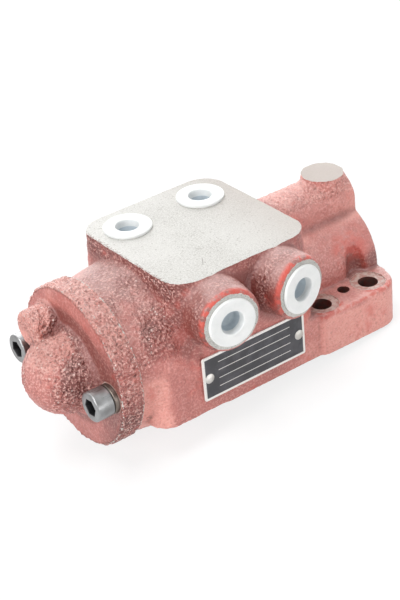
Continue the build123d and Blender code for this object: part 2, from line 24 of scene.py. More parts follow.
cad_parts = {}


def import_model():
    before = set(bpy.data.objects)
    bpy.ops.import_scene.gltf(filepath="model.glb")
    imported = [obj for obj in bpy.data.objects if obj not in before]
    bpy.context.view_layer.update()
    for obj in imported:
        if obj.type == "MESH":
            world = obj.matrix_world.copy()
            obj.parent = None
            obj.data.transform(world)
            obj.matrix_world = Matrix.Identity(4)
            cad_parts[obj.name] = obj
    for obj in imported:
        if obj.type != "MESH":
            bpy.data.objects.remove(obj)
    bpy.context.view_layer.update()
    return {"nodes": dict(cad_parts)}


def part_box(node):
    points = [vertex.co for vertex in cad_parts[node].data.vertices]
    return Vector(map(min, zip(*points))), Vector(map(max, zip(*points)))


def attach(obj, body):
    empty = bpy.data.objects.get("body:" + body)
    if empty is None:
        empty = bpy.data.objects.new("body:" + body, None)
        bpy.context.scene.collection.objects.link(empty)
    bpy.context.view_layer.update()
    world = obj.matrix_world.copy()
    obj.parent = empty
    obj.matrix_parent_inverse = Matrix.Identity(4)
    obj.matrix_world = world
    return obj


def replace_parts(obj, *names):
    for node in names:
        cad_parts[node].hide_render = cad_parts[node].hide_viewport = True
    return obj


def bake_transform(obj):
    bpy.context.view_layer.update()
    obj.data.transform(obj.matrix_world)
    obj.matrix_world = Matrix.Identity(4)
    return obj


Pair = tuple[float, float]
Point = tuple[float, float, float]
Colour = tuple[float, float, float, float]
Signal = NodeSocket | float

MM = 0.001
FAR = 99.0
VALVE = "valve"
AXIS_HEIGHT = 25.5
COVER_FRONT_X = -148.7
COVER_SCREWS = ((-34.28, 24.48), (34.28, 26.52))
RELIEF_BORE = (17.6, 46.4, 6.5)
TO_FEET = (1.0, 0.0, 0.0)
TO_COVER = (-1.0, 0.0, 0.0)
LOG = logging.getLogger("valve")


class Face(Enum):
    """What a face of a casting is, by its material index."""

    CAST = 0
    MACHINED = 1
    DRILLED = 2
    SPOTTED = 3


class Slot(Enum):
    """The record's material slots meant for the new pieces; nothing in the script reads them."""

    PAINT = "cast_iron_paint"
    ZINC = "zinc_steel"
    SPRING = "spring_steel"
    PLATE = "plate_black"
    RIVET = "rivet_aluminium"
    PLASTIC = "plug_plastic"


def srgb(red: int, green: int, blue: int) -> Colour:
    """Turns a display colour into the linear colour that a shader takes.

    Args:
        red: The red part, 0 to 255.
        green: The green part, 0 to 255.
        blue: The blue part, 0 to 255.

    Returns:
        The linear colour with an alpha of 1.
    """
    parts = [c / 255 for c in (red, green, blue)]
    linear = [c / 12.92 if c <= 0.04045 else ((c + 0.055) / 1.055) ** 2.4 for c in parts]
    return (linear[0], linear[1], linear[2], 1.0)


def smoothstep(values: np.ndarray, low: float, high: float) -> np.ndarray:
    """Rises smoothly from 0 at low to 1 at high, or falls where low is the larger."""
    t = np.clip((values - low) / (high - low), 0, 1)
    return t * t * (3 - 2 * t)


def solid_noise(points: np.ndarray, size: float, seed: int) -> np.ndarray:
    """Smooth gradient noise through space.

    Args:
        points: The places in millimetres, one row each.
        size: The size of one lump in millimetres.
        seed: Which pattern to take.

    Returns:
        One value for each point, within about -1 to 1.
    """
    place = points / size
    base = np.floor(place).astype(np.int64)
    part = place - base
    fade = part ** 3 * (part * (part * 6 - 15) + 10)
    total = np.zeros(len(points))
    for corner in product((0, 1), repeat=3):
        cell = (base + corner).astype(np.uint32)
        key = cell[:, 0] * np.uint32(73856093) ^ cell[:, 1] * np.uint32(19349663)
        key ^= cell[:, 2] * np.uint32(83492791) ^ np.uint32((seed * 40503 + 977) & 0xFFFFFFFF)
        key = (key ^ (key >> np.uint32(15))) * np.uint32(2246822519)
        key = (key ^ (key >> np.uint32(13))) * np.uint32(3266489917)
        key ^= key >> np.uint32(16)
        slope = np.stack([(key >> np.uint32(s)) & np.uint32(1023) for s in (0, 10, 20)], 1) / 511.5 - 1
        weight = np.prod(np.where(corner, fade, 1 - fade), 1)
        total += weight * ((part - corner) * slope).sum(1)
    return total * 1.6


class SkinMesh:
    """A dense quad mesh held as arrays, in millimetres, while its skin is worked."""

    def __init__(self, mesh: Mesh) -> None:
        """Reads a mesh in metres.

        Args:
            mesh: The mesh, which store() writes back to.
        """
        count = len(mesh.vertices)
        self.mesh = mesh
        self.points = np.empty(count * 3)
        mesh.vertices.foreach_get("co", self.points)
        self.points = self.points.reshape(-1, 3) / MM
        edges = np.empty(len(mesh.edges) * 2, np.int32)
        mesh.edges.foreach_get("vertices", edges)
        self.a, self.b = edges.reshape(-1, 2).T.copy()
        self.degree = np.bincount(self.a, minlength=count) + np.bincount(self.b, minlength=count)

    def around(self, values: np.ndarray) -> np.ndarray:
        """The average of the neighbours' values at each point.

        Args:
            values: One value for each point.

        Returns:
            One average for each point.
        """
        count = len(values)
        total = np.bincount(self.a, values[self.b], count) + np.bincount(self.b, values[self.a], count)
        return total / self.degree

    def lean(self) -> np.ndarray:
        """How far each point's neighbours lie from it on average, as a vector."""
        return np.stack([self.around(self.points[:, axis]) for axis in range(3)], 1) - self.points

    def normals(self) -> np.ndarray:
        """The points' unit normals.

        Returns:
            One row for each point.
        """
        self.store()
        values = np.empty(len(self.points) * 3, np.float32)
        self.mesh.vertex_normals.foreach_get("vector", values)
        return values.reshape(-1, 3).astype(float)

    def smooth(self, rounds: int, weight: float | np.ndarray) -> None:
        """Evens the skin out.

        Args:
            rounds: How many times.
            weight: How strongly, from 0 to 1, for all points or for each.
        """
        weight = np.broadcast_to(np.asarray(weight, float).reshape(-1, 1), (len(self.points), 1))
        for _ in range(rounds):
            self.points += 0.5 * weight * self.lean()

    def fill_hollows(self, rounds: int, weight: np.ndarray, refresh: int = 8) -> None:
        """Fills inner corners with cast fillets and leaves outer corners as they are.

        Args:
            rounds: How many times; the fillet's radius grows with its square root.
            weight: How strongly at each point, from 0 to 1.
            refresh: After how many rounds the normals are worked out again.
        """
        for turn in range(rounds):
            if turn % refresh == 0:
                normals = self.normals()
            lean = self.lean()
            out = (lean * normals).sum(1)
            step = 0.5 * weight * np.clip(out - 0.002, 0, None)
            self.points += step[:, None] * normals

    def spread(self, values: np.ndarray, rounds: int) -> np.ndarray:
        """Puts the neighbours' average in place of each value a number of times.

        Args:
            values: One value for each point.
            rounds: How many times.

        Returns:
            The spread values.
        """
        for _ in range(rounds):
            values = self.around(values)
        return values

    def push(self, height: np.ndarray) -> None:
        """Moves every point out along its normal by its own height in millimetres."""
        self.points += self.normals() * height[:, None]

    def store(self) -> None:
        """Writes the points back to the mesh, in metres."""
        self.mesh.vertices.foreach_set("co", (self.points * MM).astype(np.float32).ravel())
        self.mesh.update()


def stand(centre: Point, axis: Point) -> Matrix:
    """The place of a piece that is made along Z and stands at a centre along an axis, in millimetres."""
    turn = Vector((0, 0, 1)).rotation_difference(Vector(axis)).to_matrix().to_4x4()
    return Matrix.Translation(Vector(centre)) @ turn


def band_between(bm: BMesh, low: list[BMVert], high: list[BMVert]) -> list[BMFace]:
    """The quads between two rings of points."""
    ends = zip(low, low[1:] + low[:1], high[1:] + high[:1], high)
    return [bm.faces.new(corners) for corners in ends]


def close_wire(bm: BMesh, loops: list[list[BMVert]]) -> None:
    """Skins a wire over its sections and closes its two ends.

    Args:
        bm: The mesh.
        loops: The sections' points, in order along the wire.
    """
    for low, high in zip(loops, loops[1:]):
        for corners in zip(low, high, high[1:] + high[:1], low[1:] + low[:1]):
            bm.faces.new(corners)
    bm.faces.new(loops[0])
    bm.faces.new(loops[-1][::-1])
    bmesh.ops.recalc_face_normals(bm, faces=bm.faces)


@dataclass(frozen=True)
class Tool:
    """A round or square tool that fills a hollow before the skin is grown and cuts it clean afterwards.

    A round tool has a radius and runs along its axis from start, inside the metal, to end, the surface,
    measured from its centre. A square one has half widths to each side instead, and a corner radius. Its cut
    goes past both ends, and its fill stands out by fills, or isn't made where that is 0.
    """

    centre: Point
    start: float
    end: float
    radius: float = 0.0
    axis: Point = (0.0, 0.0, 1.0)
    half: Pair = (0.0, 0.0)
    corner: float = 0.0
    face: Face = Face.DRILLED
    fills: float = 0.5
    past: Pair = (0.0, 4.0)
    hollow: float = 0.0

    @property
    def steps(self) -> int:
        """The number of points round the tool, all of them on the metal side."""
        return 64 if self.radius < 8 else 128

    def outline(self, grow: float, steps: int = 12) -> list[Pair]:
        """The tool's section.

        Args:
            grow: How much larger than the tool it is all round.
            steps: The number of steps in a rounded corner.

        Returns:
            The section's points in order.
        """
        if self.radius:
            count, radius = self.steps, self.radius + grow
            return [(radius * math.cos(math.tau * i / count), radius * math.sin(math.tau * i / count))
                    for i in range(count)]
        (w, h), r = self.half, max(self.corner, 0.01)
        points = []
        for quarter, (sx, sy) in enumerate(((1, 1), (-1, 1), (-1, -1), (1, -1))):
            for i in range(steps + 1):
                angle = math.pi / 2 * (quarter + i / steps)
                out_x, out_y = (r + grow) * math.cos(angle), (r + grow) * math.sin(angle)
                points.append((sx * (w - r) + out_x, sy * (h - r) + out_y))
        return points

    def add_to(self, bm: BMesh, grow: float = 0.0, past: Pair = (0.0, 0.0)) -> None:
        """Adds the tool's closed shape to a mesh.

        Args:
            bm: The mesh, in metres.
            grow: How much wider than the tool it is all round, in millimetres.
            past: How far it goes past its start and its end.
        """
        place = stand(self.centre, self.axis)
        low, high = self.start - past[0], self.end + past[1]
        outline = self.outline(grow)
        corners = [(low, outline), (high, outline)]
        if self.hollow:
            inner = [(x * self.hollow / self.radius, y * self.hollow / self.radius) for x, y in outline]
            corners += [(high, inner), (low, inner)]
        rings = [[bm.verts.new((place @ Vector((x, y, z))) * MM) for x, y in points] for z, points in corners]
        pairs = list(zip(rings, rings[1:] + rings[:1])) if self.hollow else [(rings[0], rings[1])]
        faces = [face for first, second in pairs for face in band_between(bm, first, second)]
        if not self.hollow:
            faces += [bm.faces.new(rings[0][::-1]), bm.faces.new(rings[1])]
        for face in faces:
            face.material_index = self.face.value

    def fill(self, bm: BMesh) -> None:
        """Adds the plug that closes the hole up to the surface."""
        self.add_to(bm, self.fills, (self.fills, 0.0))

    def cut(self, bm: BMesh) -> None:
        """Adds the cutter that opens it again."""
        self.add_to(bm, 0.0, self.past)


def new_object(name: str, data: ID) -> Object:
    """Puts a mesh, a camera or a lamp in the scene as an object.

    Args:
        name: The object's name.
        data: What it shows.

    Returns:
        The object.
    """
    made = bpy.data.objects.new(name, data)
    bpy.context.scene.collection.objects.link(made)
    return made


def evaluated(source: Object) -> Mesh:
    """The mesh of an object with its modifiers applied."""
    graph = bpy.context.evaluated_depsgraph_get()
    return bpy.data.meshes.new_from_object(source.evaluated_get(graph), depsgraph=graph)


def drop(made: Object) -> None:
    """Deletes an object and the mesh that only it has.

    Args:
        made: The object.
    """
    mesh = made.data
    bpy.data.objects.remove(made)
    if mesh.users == 0:
        bpy.data.meshes.remove(mesh)


def store_values(mesh: Mesh, name: str, values: np.ndarray) -> None:
    """Stores one value for each point of a mesh under a name."""
    mesh.attributes.new(name, "FLOAT", "POINT").data.foreach_set("value", values.astype(np.float32))


def dress_piece(made: Object, materials: list[Material], sharp: float) -> None:
    """Gives a piece its materials and smooth shading.

    Args:
        made: The piece.
        materials: Its materials, in the order of its faces' numbers.
        sharp: The angle in degrees over which an edge stays sharp.
    """
    for material in materials:
        made.data.materials.append(material)
    made.data.shade_smooth()
    made.data.set_sharp_from_angle(angle=math.radians(sharp))


def mesh_from(name: str, build: Callable[[BMesh], None]) -> Mesh:
    """Makes a mesh with a function that fills a bmesh.

    Args:
        name: The mesh's name.
        build: A function that takes the empty bmesh.

    Returns:
        The finished mesh.
    """
    bm = bmesh.new()
    build(bm)
    mesh = bpy.data.meshes.new(name)
    bm.to_mesh(mesh)
    bm.free()
    return mesh


@dataclass
class Casting:
    """A sand-cast piece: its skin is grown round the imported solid, worked, then machined."""

    name: str
    node: str
    body: str = VALVE
    voxel: float = 0.6
    soften: int = 4
    soften_weight: float = 0.7
    rounding_rounds: int = 24
    settle: int = 4
    fillet_rounds: int = 120
    curve_reach: float = 1.5
    shade_reach: float = 30.0
    sharp_angle: float = 80.0
    tools: list[Tool] = field(default_factory=list)
    stock: list[Tool] = field(default_factory=list)

    def blank(self, node: Object) -> Mesh:
        """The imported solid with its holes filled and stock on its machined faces, as one even skin.

        Args:
            node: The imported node's object.

        Returns:
            The skin, in metres.
        """
        bm = bmesh.new()
        bm.from_mesh(node.data)
        bmesh.ops.remove_doubles(bm, verts=bm.verts, dist=2e-6)
        for tool in self.tools:
            if tool.fills:
                tool.fill(bm)
        for tool in self.stock:
            tool.add_to(bm)
        mesh = bpy.data.meshes.new(self.name + "_blank")
        bm.to_mesh(mesh)
        bm.free()
        rough = new_object(self.name + "_blank", mesh)
        remesh = rough.modifiers.new("skin", "REMESH")
        remesh.mode = "VOXEL"
        remesh.voxel_size = self.voxel * MM
        skin = evaluated(rough)
        drop(rough)
        return skin

    def fillet_weight(self, points: np.ndarray) -> np.ndarray:
        """How strongly inner corners are filled at each point."""
        return np.full(len(points), 0.4)

    def rounded(self, points: np.ndarray) -> np.ndarray:
        """Where outer edges are rounded off by hand, from 0 to 1."""
        return np.zeros(len(points))

    def roughness(self, points: np.ndarray) -> np.ndarray:
        """How coarse the sand's print is at each point, from 0 to 1."""
        return np.full(len(points), 0.3)

    def rims(self, points: np.ndarray) -> np.ndarray:
        """Where edges were touched up with fresh, brighter paint, from 0 to 1."""
        return np.zeros(len(points))

    def fresh(self, points: np.ndarray) -> np.ndarray:
        """Where whole faces were touched up with the brighter paint, from 0 to 1."""
        return np.zeros(len(points))

    def wear(self, points: np.ndarray) -> np.ndarray:
        """How far the paint chips back from a machined edge at each point, in millimetres."""
        return np.full(len(points), 0.35)

    def light_shade_and_tone(self, points: np.ndarray) -> np.ndarray:
        """How deep the red is at each point: 1 dark with painted shade, -1 pale with painted light, with the
        paint's own random drift on top.
        """
        return np.zeros(len(points))

    def edge_way(self, points: np.ndarray) -> np.ndarray:
        """The way from each point to the nearest machined edge, in millimetres."""
        return np.full(len(points), FAR)

    def relief(self, points: np.ndarray) -> np.ndarray:
        """The height of the cast skin at each point: a slow swell, the sand's grain, lumps and pits.

        Args:
            points: The places in millimetres.

        Returns:
            The heights in millimetres.
        """
        coarse = self.roughness(points)
        swell = 0.13 * solid_noise(points, 9.0, 1) + 0.06 * solid_noise(points, 4.5, 2)
        grain = solid_noise(points, 2.1, 3) + 0.6 * solid_noise(points, 1.35, 4)
        pits = np.clip(solid_noise(points, 1.9, 5) - 0.4, 0, None)
        lumps = solid_noise(points, 3.4, 7)
        return swell + coarse * (0.5 * grain + 0.25 * lumps - 1.2 * pits) + 0.03 * solid_noise(points, 1.7, 6)

    def machined(self, cast: Object) -> Mesh:
        """Cuts every tool out of the worked skin.

        Args:
            cast: The skin's object.

        Returns:
            The cut mesh.
        """
        bench = bpy.data.collections.new(self.name + "_tools")
        bpy.context.scene.collection.children.link(bench)
        cutters = []
        for index, tool in enumerate(self.tools):
            mesh = mesh_from(f"{self.name}_tool", tool.cut)
            cutter = bpy.data.objects.new(f"{self.name}_tool_{index}", mesh)
            bench.objects.link(cutter)
            cutters.append(cutter)
        cut = cast.modifiers.new("tools", "BOOLEAN")
        cut.operation = "DIFFERENCE"
        cut.operand_type = "COLLECTION"
        cut.collection = bench
        cut.solver = "MANIFOLD"
        result = evaluated(cast)
        for cutter in cutters:
            drop(cutter)
        bpy.data.collections.remove(bench)
        return result

    def masks(self, made: Object) -> None:
        """Keeps the piece inside its node's box and stores what the paint reads at each point.

        Args:
            made: The cut piece.
        """
        mesh, (low, high) = made.data, (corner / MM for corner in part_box(self.node))
        skin = SkinMesh(mesh)
        points = skin.points = np.clip(skin.points, low, high)
        curve = (skin.lean() * skin.normals()).sum(1) / self.voxel ** 2
        near = skin.spread(curve, round(self.curve_reach / self.voxel ** 2))
        wide = skin.spread(near, round(self.shade_reach / self.voxel ** 2))
        store_values(mesh, "edge_mm", np.clip(self.edge_way(points), 0, 20))
        store_values(mesh, "hollow", near)
        store_values(mesh, "shade", wide)
        store_values(mesh, "coarse", self.roughness(points))
        store_values(mesh, "rims", self.rims(points))
        store_values(mesh, "fresh", self.fresh(points))
        store_values(mesh, "wear", self.wear(points))
        store_values(mesh, "light_shade_and_tone", self.light_shade_and_tone(points))
        self.sharpen(mesh)

    def sharpen(self, mesh: Mesh) -> None:
        """Shades the mesh smooth, with sharp edges where cast and machined faces meet.

        Args:
            mesh: The cut mesh.
        """
        faces = np.empty(len(mesh.polygons), np.int32)
        mesh.polygons.foreach_get("material_index", faces)
        totals = np.empty(len(mesh.polygons), np.int32)
        mesh.polygons.foreach_get("loop_total", totals)
        edges = np.empty(len(mesh.loops), np.int32)
        mesh.loops.foreach_get("edge_index", edges)
        kinds = np.repeat(faces, totals)
        lowest, highest = np.full(len(mesh.edges), len(Face)), np.full(len(mesh.edges), -1)
        np.minimum.at(lowest, edges, kinds)
        np.maximum.at(highest, edges, kinds)
        mesh.shade_smooth()
        mesh.set_sharp_from_angle(angle=math.radians(self.sharp_angle))
        sharp = mesh.attributes.get("sharp_edge") or mesh.attributes.new("sharp_edge", "BOOLEAN", "EDGE")
        now = np.empty(len(mesh.edges), bool)
        sharp.data.foreach_get("value", now)
        sharp.data.foreach_set("value", now | (lowest != highest))

    def build(self, node: Object, materials: list[Material]) -> Object:
        """Grows, works, machines and dresses the casting.

        Args:
            node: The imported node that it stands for.
            materials: One material for each kind of face, in the order of Face.

        Returns:
            The finished piece.
        """
        skin = SkinMesh(self.blank(node))
        skin.smooth(self.soften, self.soften_weight)
        skin.smooth(self.rounding_rounds, self.rounded(skin.points))
        skin.fill_hollows(self.fillet_rounds, self.fillet_weight(skin.points))
        skin.smooth(self.settle, self.soften_weight)
        skin.push(self.relief(skin.points))
        skin.store()
        worked = new_object(self.name + "_worked", skin.mesh)
        for material in materials:
            worked.data.materials.append(material)
        made = new_object(self.name, self.machined(worked))
        drop(worked)
        self.masks(made)
        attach(made, self.body)
        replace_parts(made, self.node)
        return made


@dataclass
class ValveBody(Casting):
    """The body casting, with the places of its machined faces and holes."""

    name: str = "body_casting"
    node: str = "valve_body"
    axis_height: float = AXIS_HEIGHT
    seam_x: float = -135.2
    end_x: float = 31.6
    pad_height: float = 74.5
    pad_centre_x: float = -67.6
    pad_half: Pair = (43.3, 44.5)
    pad_corner: float = 14.0
    top_ports: tuple[tuple[float, float, float], ...] = ((-91.3, 25.0, 44.0), (-43.9, 25.0, 54.0))
    side_ports: tuple[Pair, ...] = ((-92.3, -8.0), (-47.9, 8.0))
    side_y: float = -62.0
    side_z: float = 56.2
    port_r: float = 8.25
    port_depth: float = 16.0
    ring_r: float = 15.2
    wall_y: float = 48.5
    foot_half: float = 51.0
    foot_x: Pair = (-26.5, 31.6)
    foot_top: float = 24.0
    bolt_x: float = 16.5
    bolt_y: float = 39.0
    bolt_r: float = 5.5
    spot_r: float = 9.5
    tapped_x: float = 1.1
    tapped_y: float = 36.6
    tapped_r: float = 3.4
    boss_x: float = 20.4
    boss_r: float = 11.5
    gallery_z: float = 59.0
    gallery_end_r: float = 13.5
    drum_r: float = 42.0
    housing_r: float = 30.0
    relief_bore: Point = RELIEF_BORE
    base_from: float = -91.5
    base_wall: float = 10.0
    cover_screws: tuple[Pair, ...] = COVER_SCREWS
    screw_core_r: float = 4.25
    allowance: float = 3.2

    def __post_init__(self) -> None:
        """Lists the stock and the tools."""
        self.stock = self.machining_stock()
        self.tools = self.port_tools() + self.end_tools() + self.foot_tools() + self.face_tools()

    def side_axis(self, splay: float) -> Point:
        """The way out of a side port that is turned outwards by an angle in degrees."""
        angle = math.radians(splay)
        return (math.sin(angle), -math.cos(angle), 0.0)

    def port_tools(self) -> list[Tool]:
        """The bores of the four ports and the facing cuts of the two side ports.

        Returns:
            The tools.
        """
        tools, deep = [], self.port_depth
        for x, y, floor in self.top_ports:
            top = self.pad_height
            tools.append(Tool((x, y, 0), top - deep, top, self.port_r))
            tools.append(Tool((x, y, 0), floor, top - deep, self.port_r - 1, fills=0))
        for x, splay in self.side_ports:
            place, axis = (x, self.side_y, self.side_z), self.side_axis(splay)
            tools.append(Tool(place, -deep, 0, self.port_r, axis))
            tools.append(Tool(place, -45, -deep, 5.5, axis, fills=0))
            tools.append(Tool(place, 0, 6, 24, axis, face=Face.MACHINED, fills=0))
        return tools

    def end_tools(self) -> list[Tool]:
        """The spool bore, the gallery and the seats at both ends, and the lever's opening.

        Returns:
            The tools.
        """
        end, seam, step = self.end_x, -self.seam_x, 112
        z, gallery = self.axis_height, self.gallery_z
        relief_y, relief_z, relief_r = self.relief_bore
        tools = [
            Tool((0, 0, z), -step, end, 11, TO_FEET, fills=0),
            Tool((0, 0, z), end - 8.3, end, 12.6, TO_FEET),
            Tool((0, 0, gallery), -6, end, 5.2, TO_FEET, fills=0),
            Tool((0, 0, gallery), end - 8.8, end, 7.2, TO_FEET),
            Tool((0, 0, z), step, seam, 18, TO_COVER),
            Tool((0, relief_y, relief_z), step, seam, relief_r, TO_COVER),
            Tool((0, 0, 0), -z, 0, axis=(0, 0, -1), half=(8, 10), corner=3),
        ]
        for y, up in self.cover_screws:
            tools.append(Tool((0, y, up), seam - 16, seam, self.screw_core_r, TO_COVER))
        return tools

    def foot_tools(self) -> list[Tool]:
        """The foot bolts' holes with their spot faces, and the tapped holes between them.

        Returns:
            The tools.
        """
        tools, top, through = [], self.foot_top, (5.0, 4.0)
        for x, side in product((-self.bolt_x, self.bolt_x), (-1, 1)):
            place = (x, side * self.bolt_y, 0)
            spot = {"face": Face.SPOTTED, "fills": 0.2, "past": (0, 0.4)}
            tools.append(Tool(place, 0, top, self.bolt_r, past=through))
            tools.append(Tool(place, top - 0.6, top, self.spot_r, **spot))
        for side in (-1, 1):
            place = (self.tapped_x, side * self.tapped_y, 0)
            tools.append(Tool(place, 0, top, self.tapped_r, past=through))
        return tools

    def face_tools(self) -> list[Tool]:
        """The milling cuts of the pad and boss, the base, the end face and the seam face.

        Returns:
            The tools.
        """
        middle, far, face = (self.seam_x + self.end_x) / 2, 100.0, Face.MACHINED
        half = (self.end_x + 10 - self.base_from) / 2
        base = (self.base_from + half, 0, 0)
        return [
            Tool((middle, 0, self.pad_height), 0, 12, half=(far, far), face=face, fills=0),
            Tool(base, -12, 0, half=(half, far), face=face, fills=0, past=(0, 0)),
            Tool((self.end_x, 0, 0), 0, 12, axis=TO_FEET, half=(far, far), face=face, fills=0),
            Tool((self.seam_x, 0, 0), 0, 12, axis=TO_COVER, half=(far, far), face=face, fills=0),
        ]

    def machining_stock(self) -> list[Tool]:
        """The extra metal on the faces that are milled.

        Returns:
            The blocks and discs of it.
        """
        more, top, z = self.allowance, self.pad_height, self.axis_height
        end, seam, gallery = self.end_x, self.seam_x, self.gallery_z
        foot_from, foot_to = self.foot_x
        end_place, end_half = (end + more / 2, 0, 0), more / 2 + 1
        foot_middle, foot_reach = ((foot_from + foot_to) / 2, 0, 0), (foot_to - foot_from) / 2
        wall_half = self.base_wall / 2
        stock = [
            Tool((self.pad_centre_x, 0, 0), top - 2, top + more, half=self.pad_half, corner=self.pad_corner),
            Tool((self.boss_x, 0, 0), top - 2, top + more, self.boss_r),
            Tool((0, 0, z), seam - more, seam + 1, self.drum_r, TO_FEET),
            Tool((0, 0, z), end - 1, end + more, self.housing_r, TO_FEET),
            Tool((0, 0, gallery), end - 1, end + more, self.gallery_end_r, TO_FEET),
            Tool(end_place, z, gallery, half=(end_half, self.gallery_end_r)),
            Tool(end_place, -more, self.foot_top, half=(end_half, 36)),
            Tool((foot_from - wall_half, 0, 0), -more, 1, half=(wall_half, self.wall_y)),
            Tool(foot_middle, -more, 1, half=(foot_reach, self.foot_half), corner=15),
        ]
        wall = (foot_from - self.base_from - more) / 2
        for side in (-1, 1):
            middle = side * (self.wall_y - wall_half)
            stock.append(Tool((foot_from - wall, middle, 0), -more, 1, half=(wall, wall_half)))
        for x, splay in self.side_ports:
            stock.append(Tool((x, self.side_y, self.side_z), -1, 0.35, self.ring_r, self.side_axis(splay)))
        return stock

    def from_port(self, points: np.ndarray, port: Pair) -> tuple[np.ndarray, np.ndarray]:
        """Where points lie from a side port's face.

        Args:
            points: The places in millimetres.
            port: The port's place along X and its splay.

        Returns:
            How far out along its axis each point lies, and how far from the axis.
        """
        axis = np.array(self.side_axis(port[1]))
        off = points - (port[0], self.side_y, self.side_z)
        depth = off @ axis
        return depth, np.linalg.norm(off - depth[:, None] * axis, axis=1)

    def fillet_weight(self, points: np.ndarray) -> np.ndarray:
        """Wide in the valley behind the drum and round the bosses, tight elsewhere.

        Args:
            points: The places in millimetres.

        Returns:
            One value for each point.
        """
        x, y, z = points.T
        valley = smoothstep(x, -93, -100) * smoothstep(z, 5, 15)
        bosses = smoothstep(y, -42, -47) * smoothstep(z, 30, 36) * smoothstep(x, -25, -30)
        boss_top = smoothstep(x, 0, 6) * smoothstep(z, 62, 66)
        return np.clip(0.03 + valley + 0.16 * bosses + 0.16 * boss_top, 0, 1)

    def rounded(self, points: np.ndarray) -> np.ndarray:
        """Round the side ports' faces."""
        return smoothstep(points[:, 1], -54, -57) * smoothstep(points[:, 2], 34, 38)

    def roughness(self, points: np.ndarray) -> np.ndarray:
        """Coarse beside the pad's cover edge and on the drum's side, fine on the walls.

        Args:
            points: The places in millimetres.

        Returns:
            One value for each point.
        """
        x, y, z = points.T
        under_pad = smoothstep(x, -104, -109) * smoothstep(z, 62, 70)
        drum_side = smoothstep(x, -108, -114) * smoothstep(y, -4, -20) * smoothstep(z, 28, 44)
        patches = smoothstep(solid_noise(points, 20, 11), 0.0, 0.5)
        tube = smoothstep(x, -26, -20) * smoothstep(z, 62, 68)
        low = smoothstep(z, 12, 2) * smoothstep(x, -100, -112)
        bosses = smoothstep(y, -48, -52) * smoothstep(z, 36, 40)
        rim = smoothstep(y, -55, -58) * smoothstep(z, 36, 40)
        mild = 0.4 * tube + 0.3 * bosses + 0.2 * low + 0.6 * drum_side * (0.55 + 0.45 * patches)
        return np.clip(0.12 + 0.32 * under_pad + 0.16 * patches + mild, 0, 1) * (1 - 0.85 * rim)

    def rims(self, points: np.ndarray) -> np.ndarray:
        """Round the upper left of the cylinder ports' faces and along the feet's top edge.

        Args:
            points: The places in millimetres.

        Returns:
            One value for each point.
        """
        x, y, z = points.T
        ports = np.zeros(len(points))
        for port_x, _ in self.side_ports:
            up_left = 0.8 * (z - self.side_z) - 0.6 * (x - port_x)
            ports = np.maximum(ports, smoothstep(up_left, -5, 7) * smoothstep(np.abs(x - port_x), 20, 17))
        foot = smoothstep(x, -30, -26) * smoothstep(np.abs(y), 44, 47) * smoothstep(z, 20.5, 22.5)
        return np.clip(ports * smoothstep(y, -54, -57) + 0.8 * foot, 0, 1)

    def fresh(self, points: np.ndarray) -> np.ndarray:
        """On the housing's side, under the gallery tube and on the drum's side.

        Args:
            points: The places in millimetres.

        Returns:
            One value for each point.
        """
        spots = (((16, -25, 40), 17, 0.75), ((-16, -13, 57), 13, 0.5), ((-114, -38, 43), 17, 0.3))
        return np.max([share * smoothstep(np.linalg.norm(points - place, axis=1), reach, reach * 0.4)
                       for place, reach, share in spots], 0)

    def wear(self, points: np.ndarray) -> np.ndarray:
        """Most round the cylinder ports and the spot faces, little at the pad and the ends.

        Args:
            points: The places in millimetres.

        Returns:
            One value for each point.
        """
        x, y, z = points.T
        ports = smoothstep(y, -54, -57) * smoothstep(z, 36, 40)
        foot = smoothstep(x, -30, -26) * smoothstep(z, 26, 25) * smoothstep(z, 20, 22)
        seam = smoothstep(x, self.seam_x + 3, self.seam_x + 1)
        return 0.25 - 0.1 * ports + 0.2 * foot + 0.5 * seam

    def light_shade_and_tone(self, points: np.ndarray) -> np.ndarray:
        """Painted shade on the drum's side, beside the cylinder ports and in the pocket, painted light low on
        drum and foot, with the paint's own random drift on top.

        Args:
            points: The places in millimetres.

        Returns:
            One value for each point.
        """
        x, y, z = points.T
        # Painted shade: the drum's front side, under the pad, the wall between the ports, the drum's turn into
        # the valley, beside and above the cylinder ports, and the pocket.
        front = smoothstep(y, -26, -34)
        side = smoothstep(x, -131, -124) * smoothstep(x, -103, -109)
        side = side * smoothstep(z, 32, 43) * smoothstep(z, 58, 50)
        deep = 1.25 * side * front + 0.75 * smoothstep(x, -104, -110) * smoothstep(z, 62, 68)
        deep = deep + 0.25 * smoothstep(x, -108, -112) * smoothstep(x, -130, -122) * smoothstep(z, 56, 62)
        wall = smoothstep(y, -40, -44) * smoothstep(z, 46, 56)
        wall = wall * smoothstep(x, -107, -101) * smoothstep(x, -26, -30)
        turn_in = smoothstep(x, -112, -107) * smoothstep(x, -99, -103)
        turn_in = turn_in * smoothstep(y, -8, -20) * smoothstep(z, 24, 36)
        deep = deep + 0.55 * wall + 0.9 * turn_in
        for port in self.side_ports:
            depth, across = self.from_port(points, port)
            beside = smoothstep(x, port[0] - 9, port[0] - 14) * smoothstep(x, port[0] - 25, port[0] - 19)
            deep = deep + 1.1 * beside * smoothstep(y, -44, -48) * smoothstep(z, 40, 48)
            root = smoothstep(np.abs(across - self.ring_r - 0.5), 3.5, 0.5) * smoothstep(depth, -5, -9)
            deep = deep + 0.9 * root * smoothstep(depth, -26, -20)
        pocket = smoothstep(x, 4, 14) * smoothstep(z, 38, 30) * smoothstep(y, -34, -30) * smoothstep(y, 0, -8)
        deep = deep + 0.95 * pocket
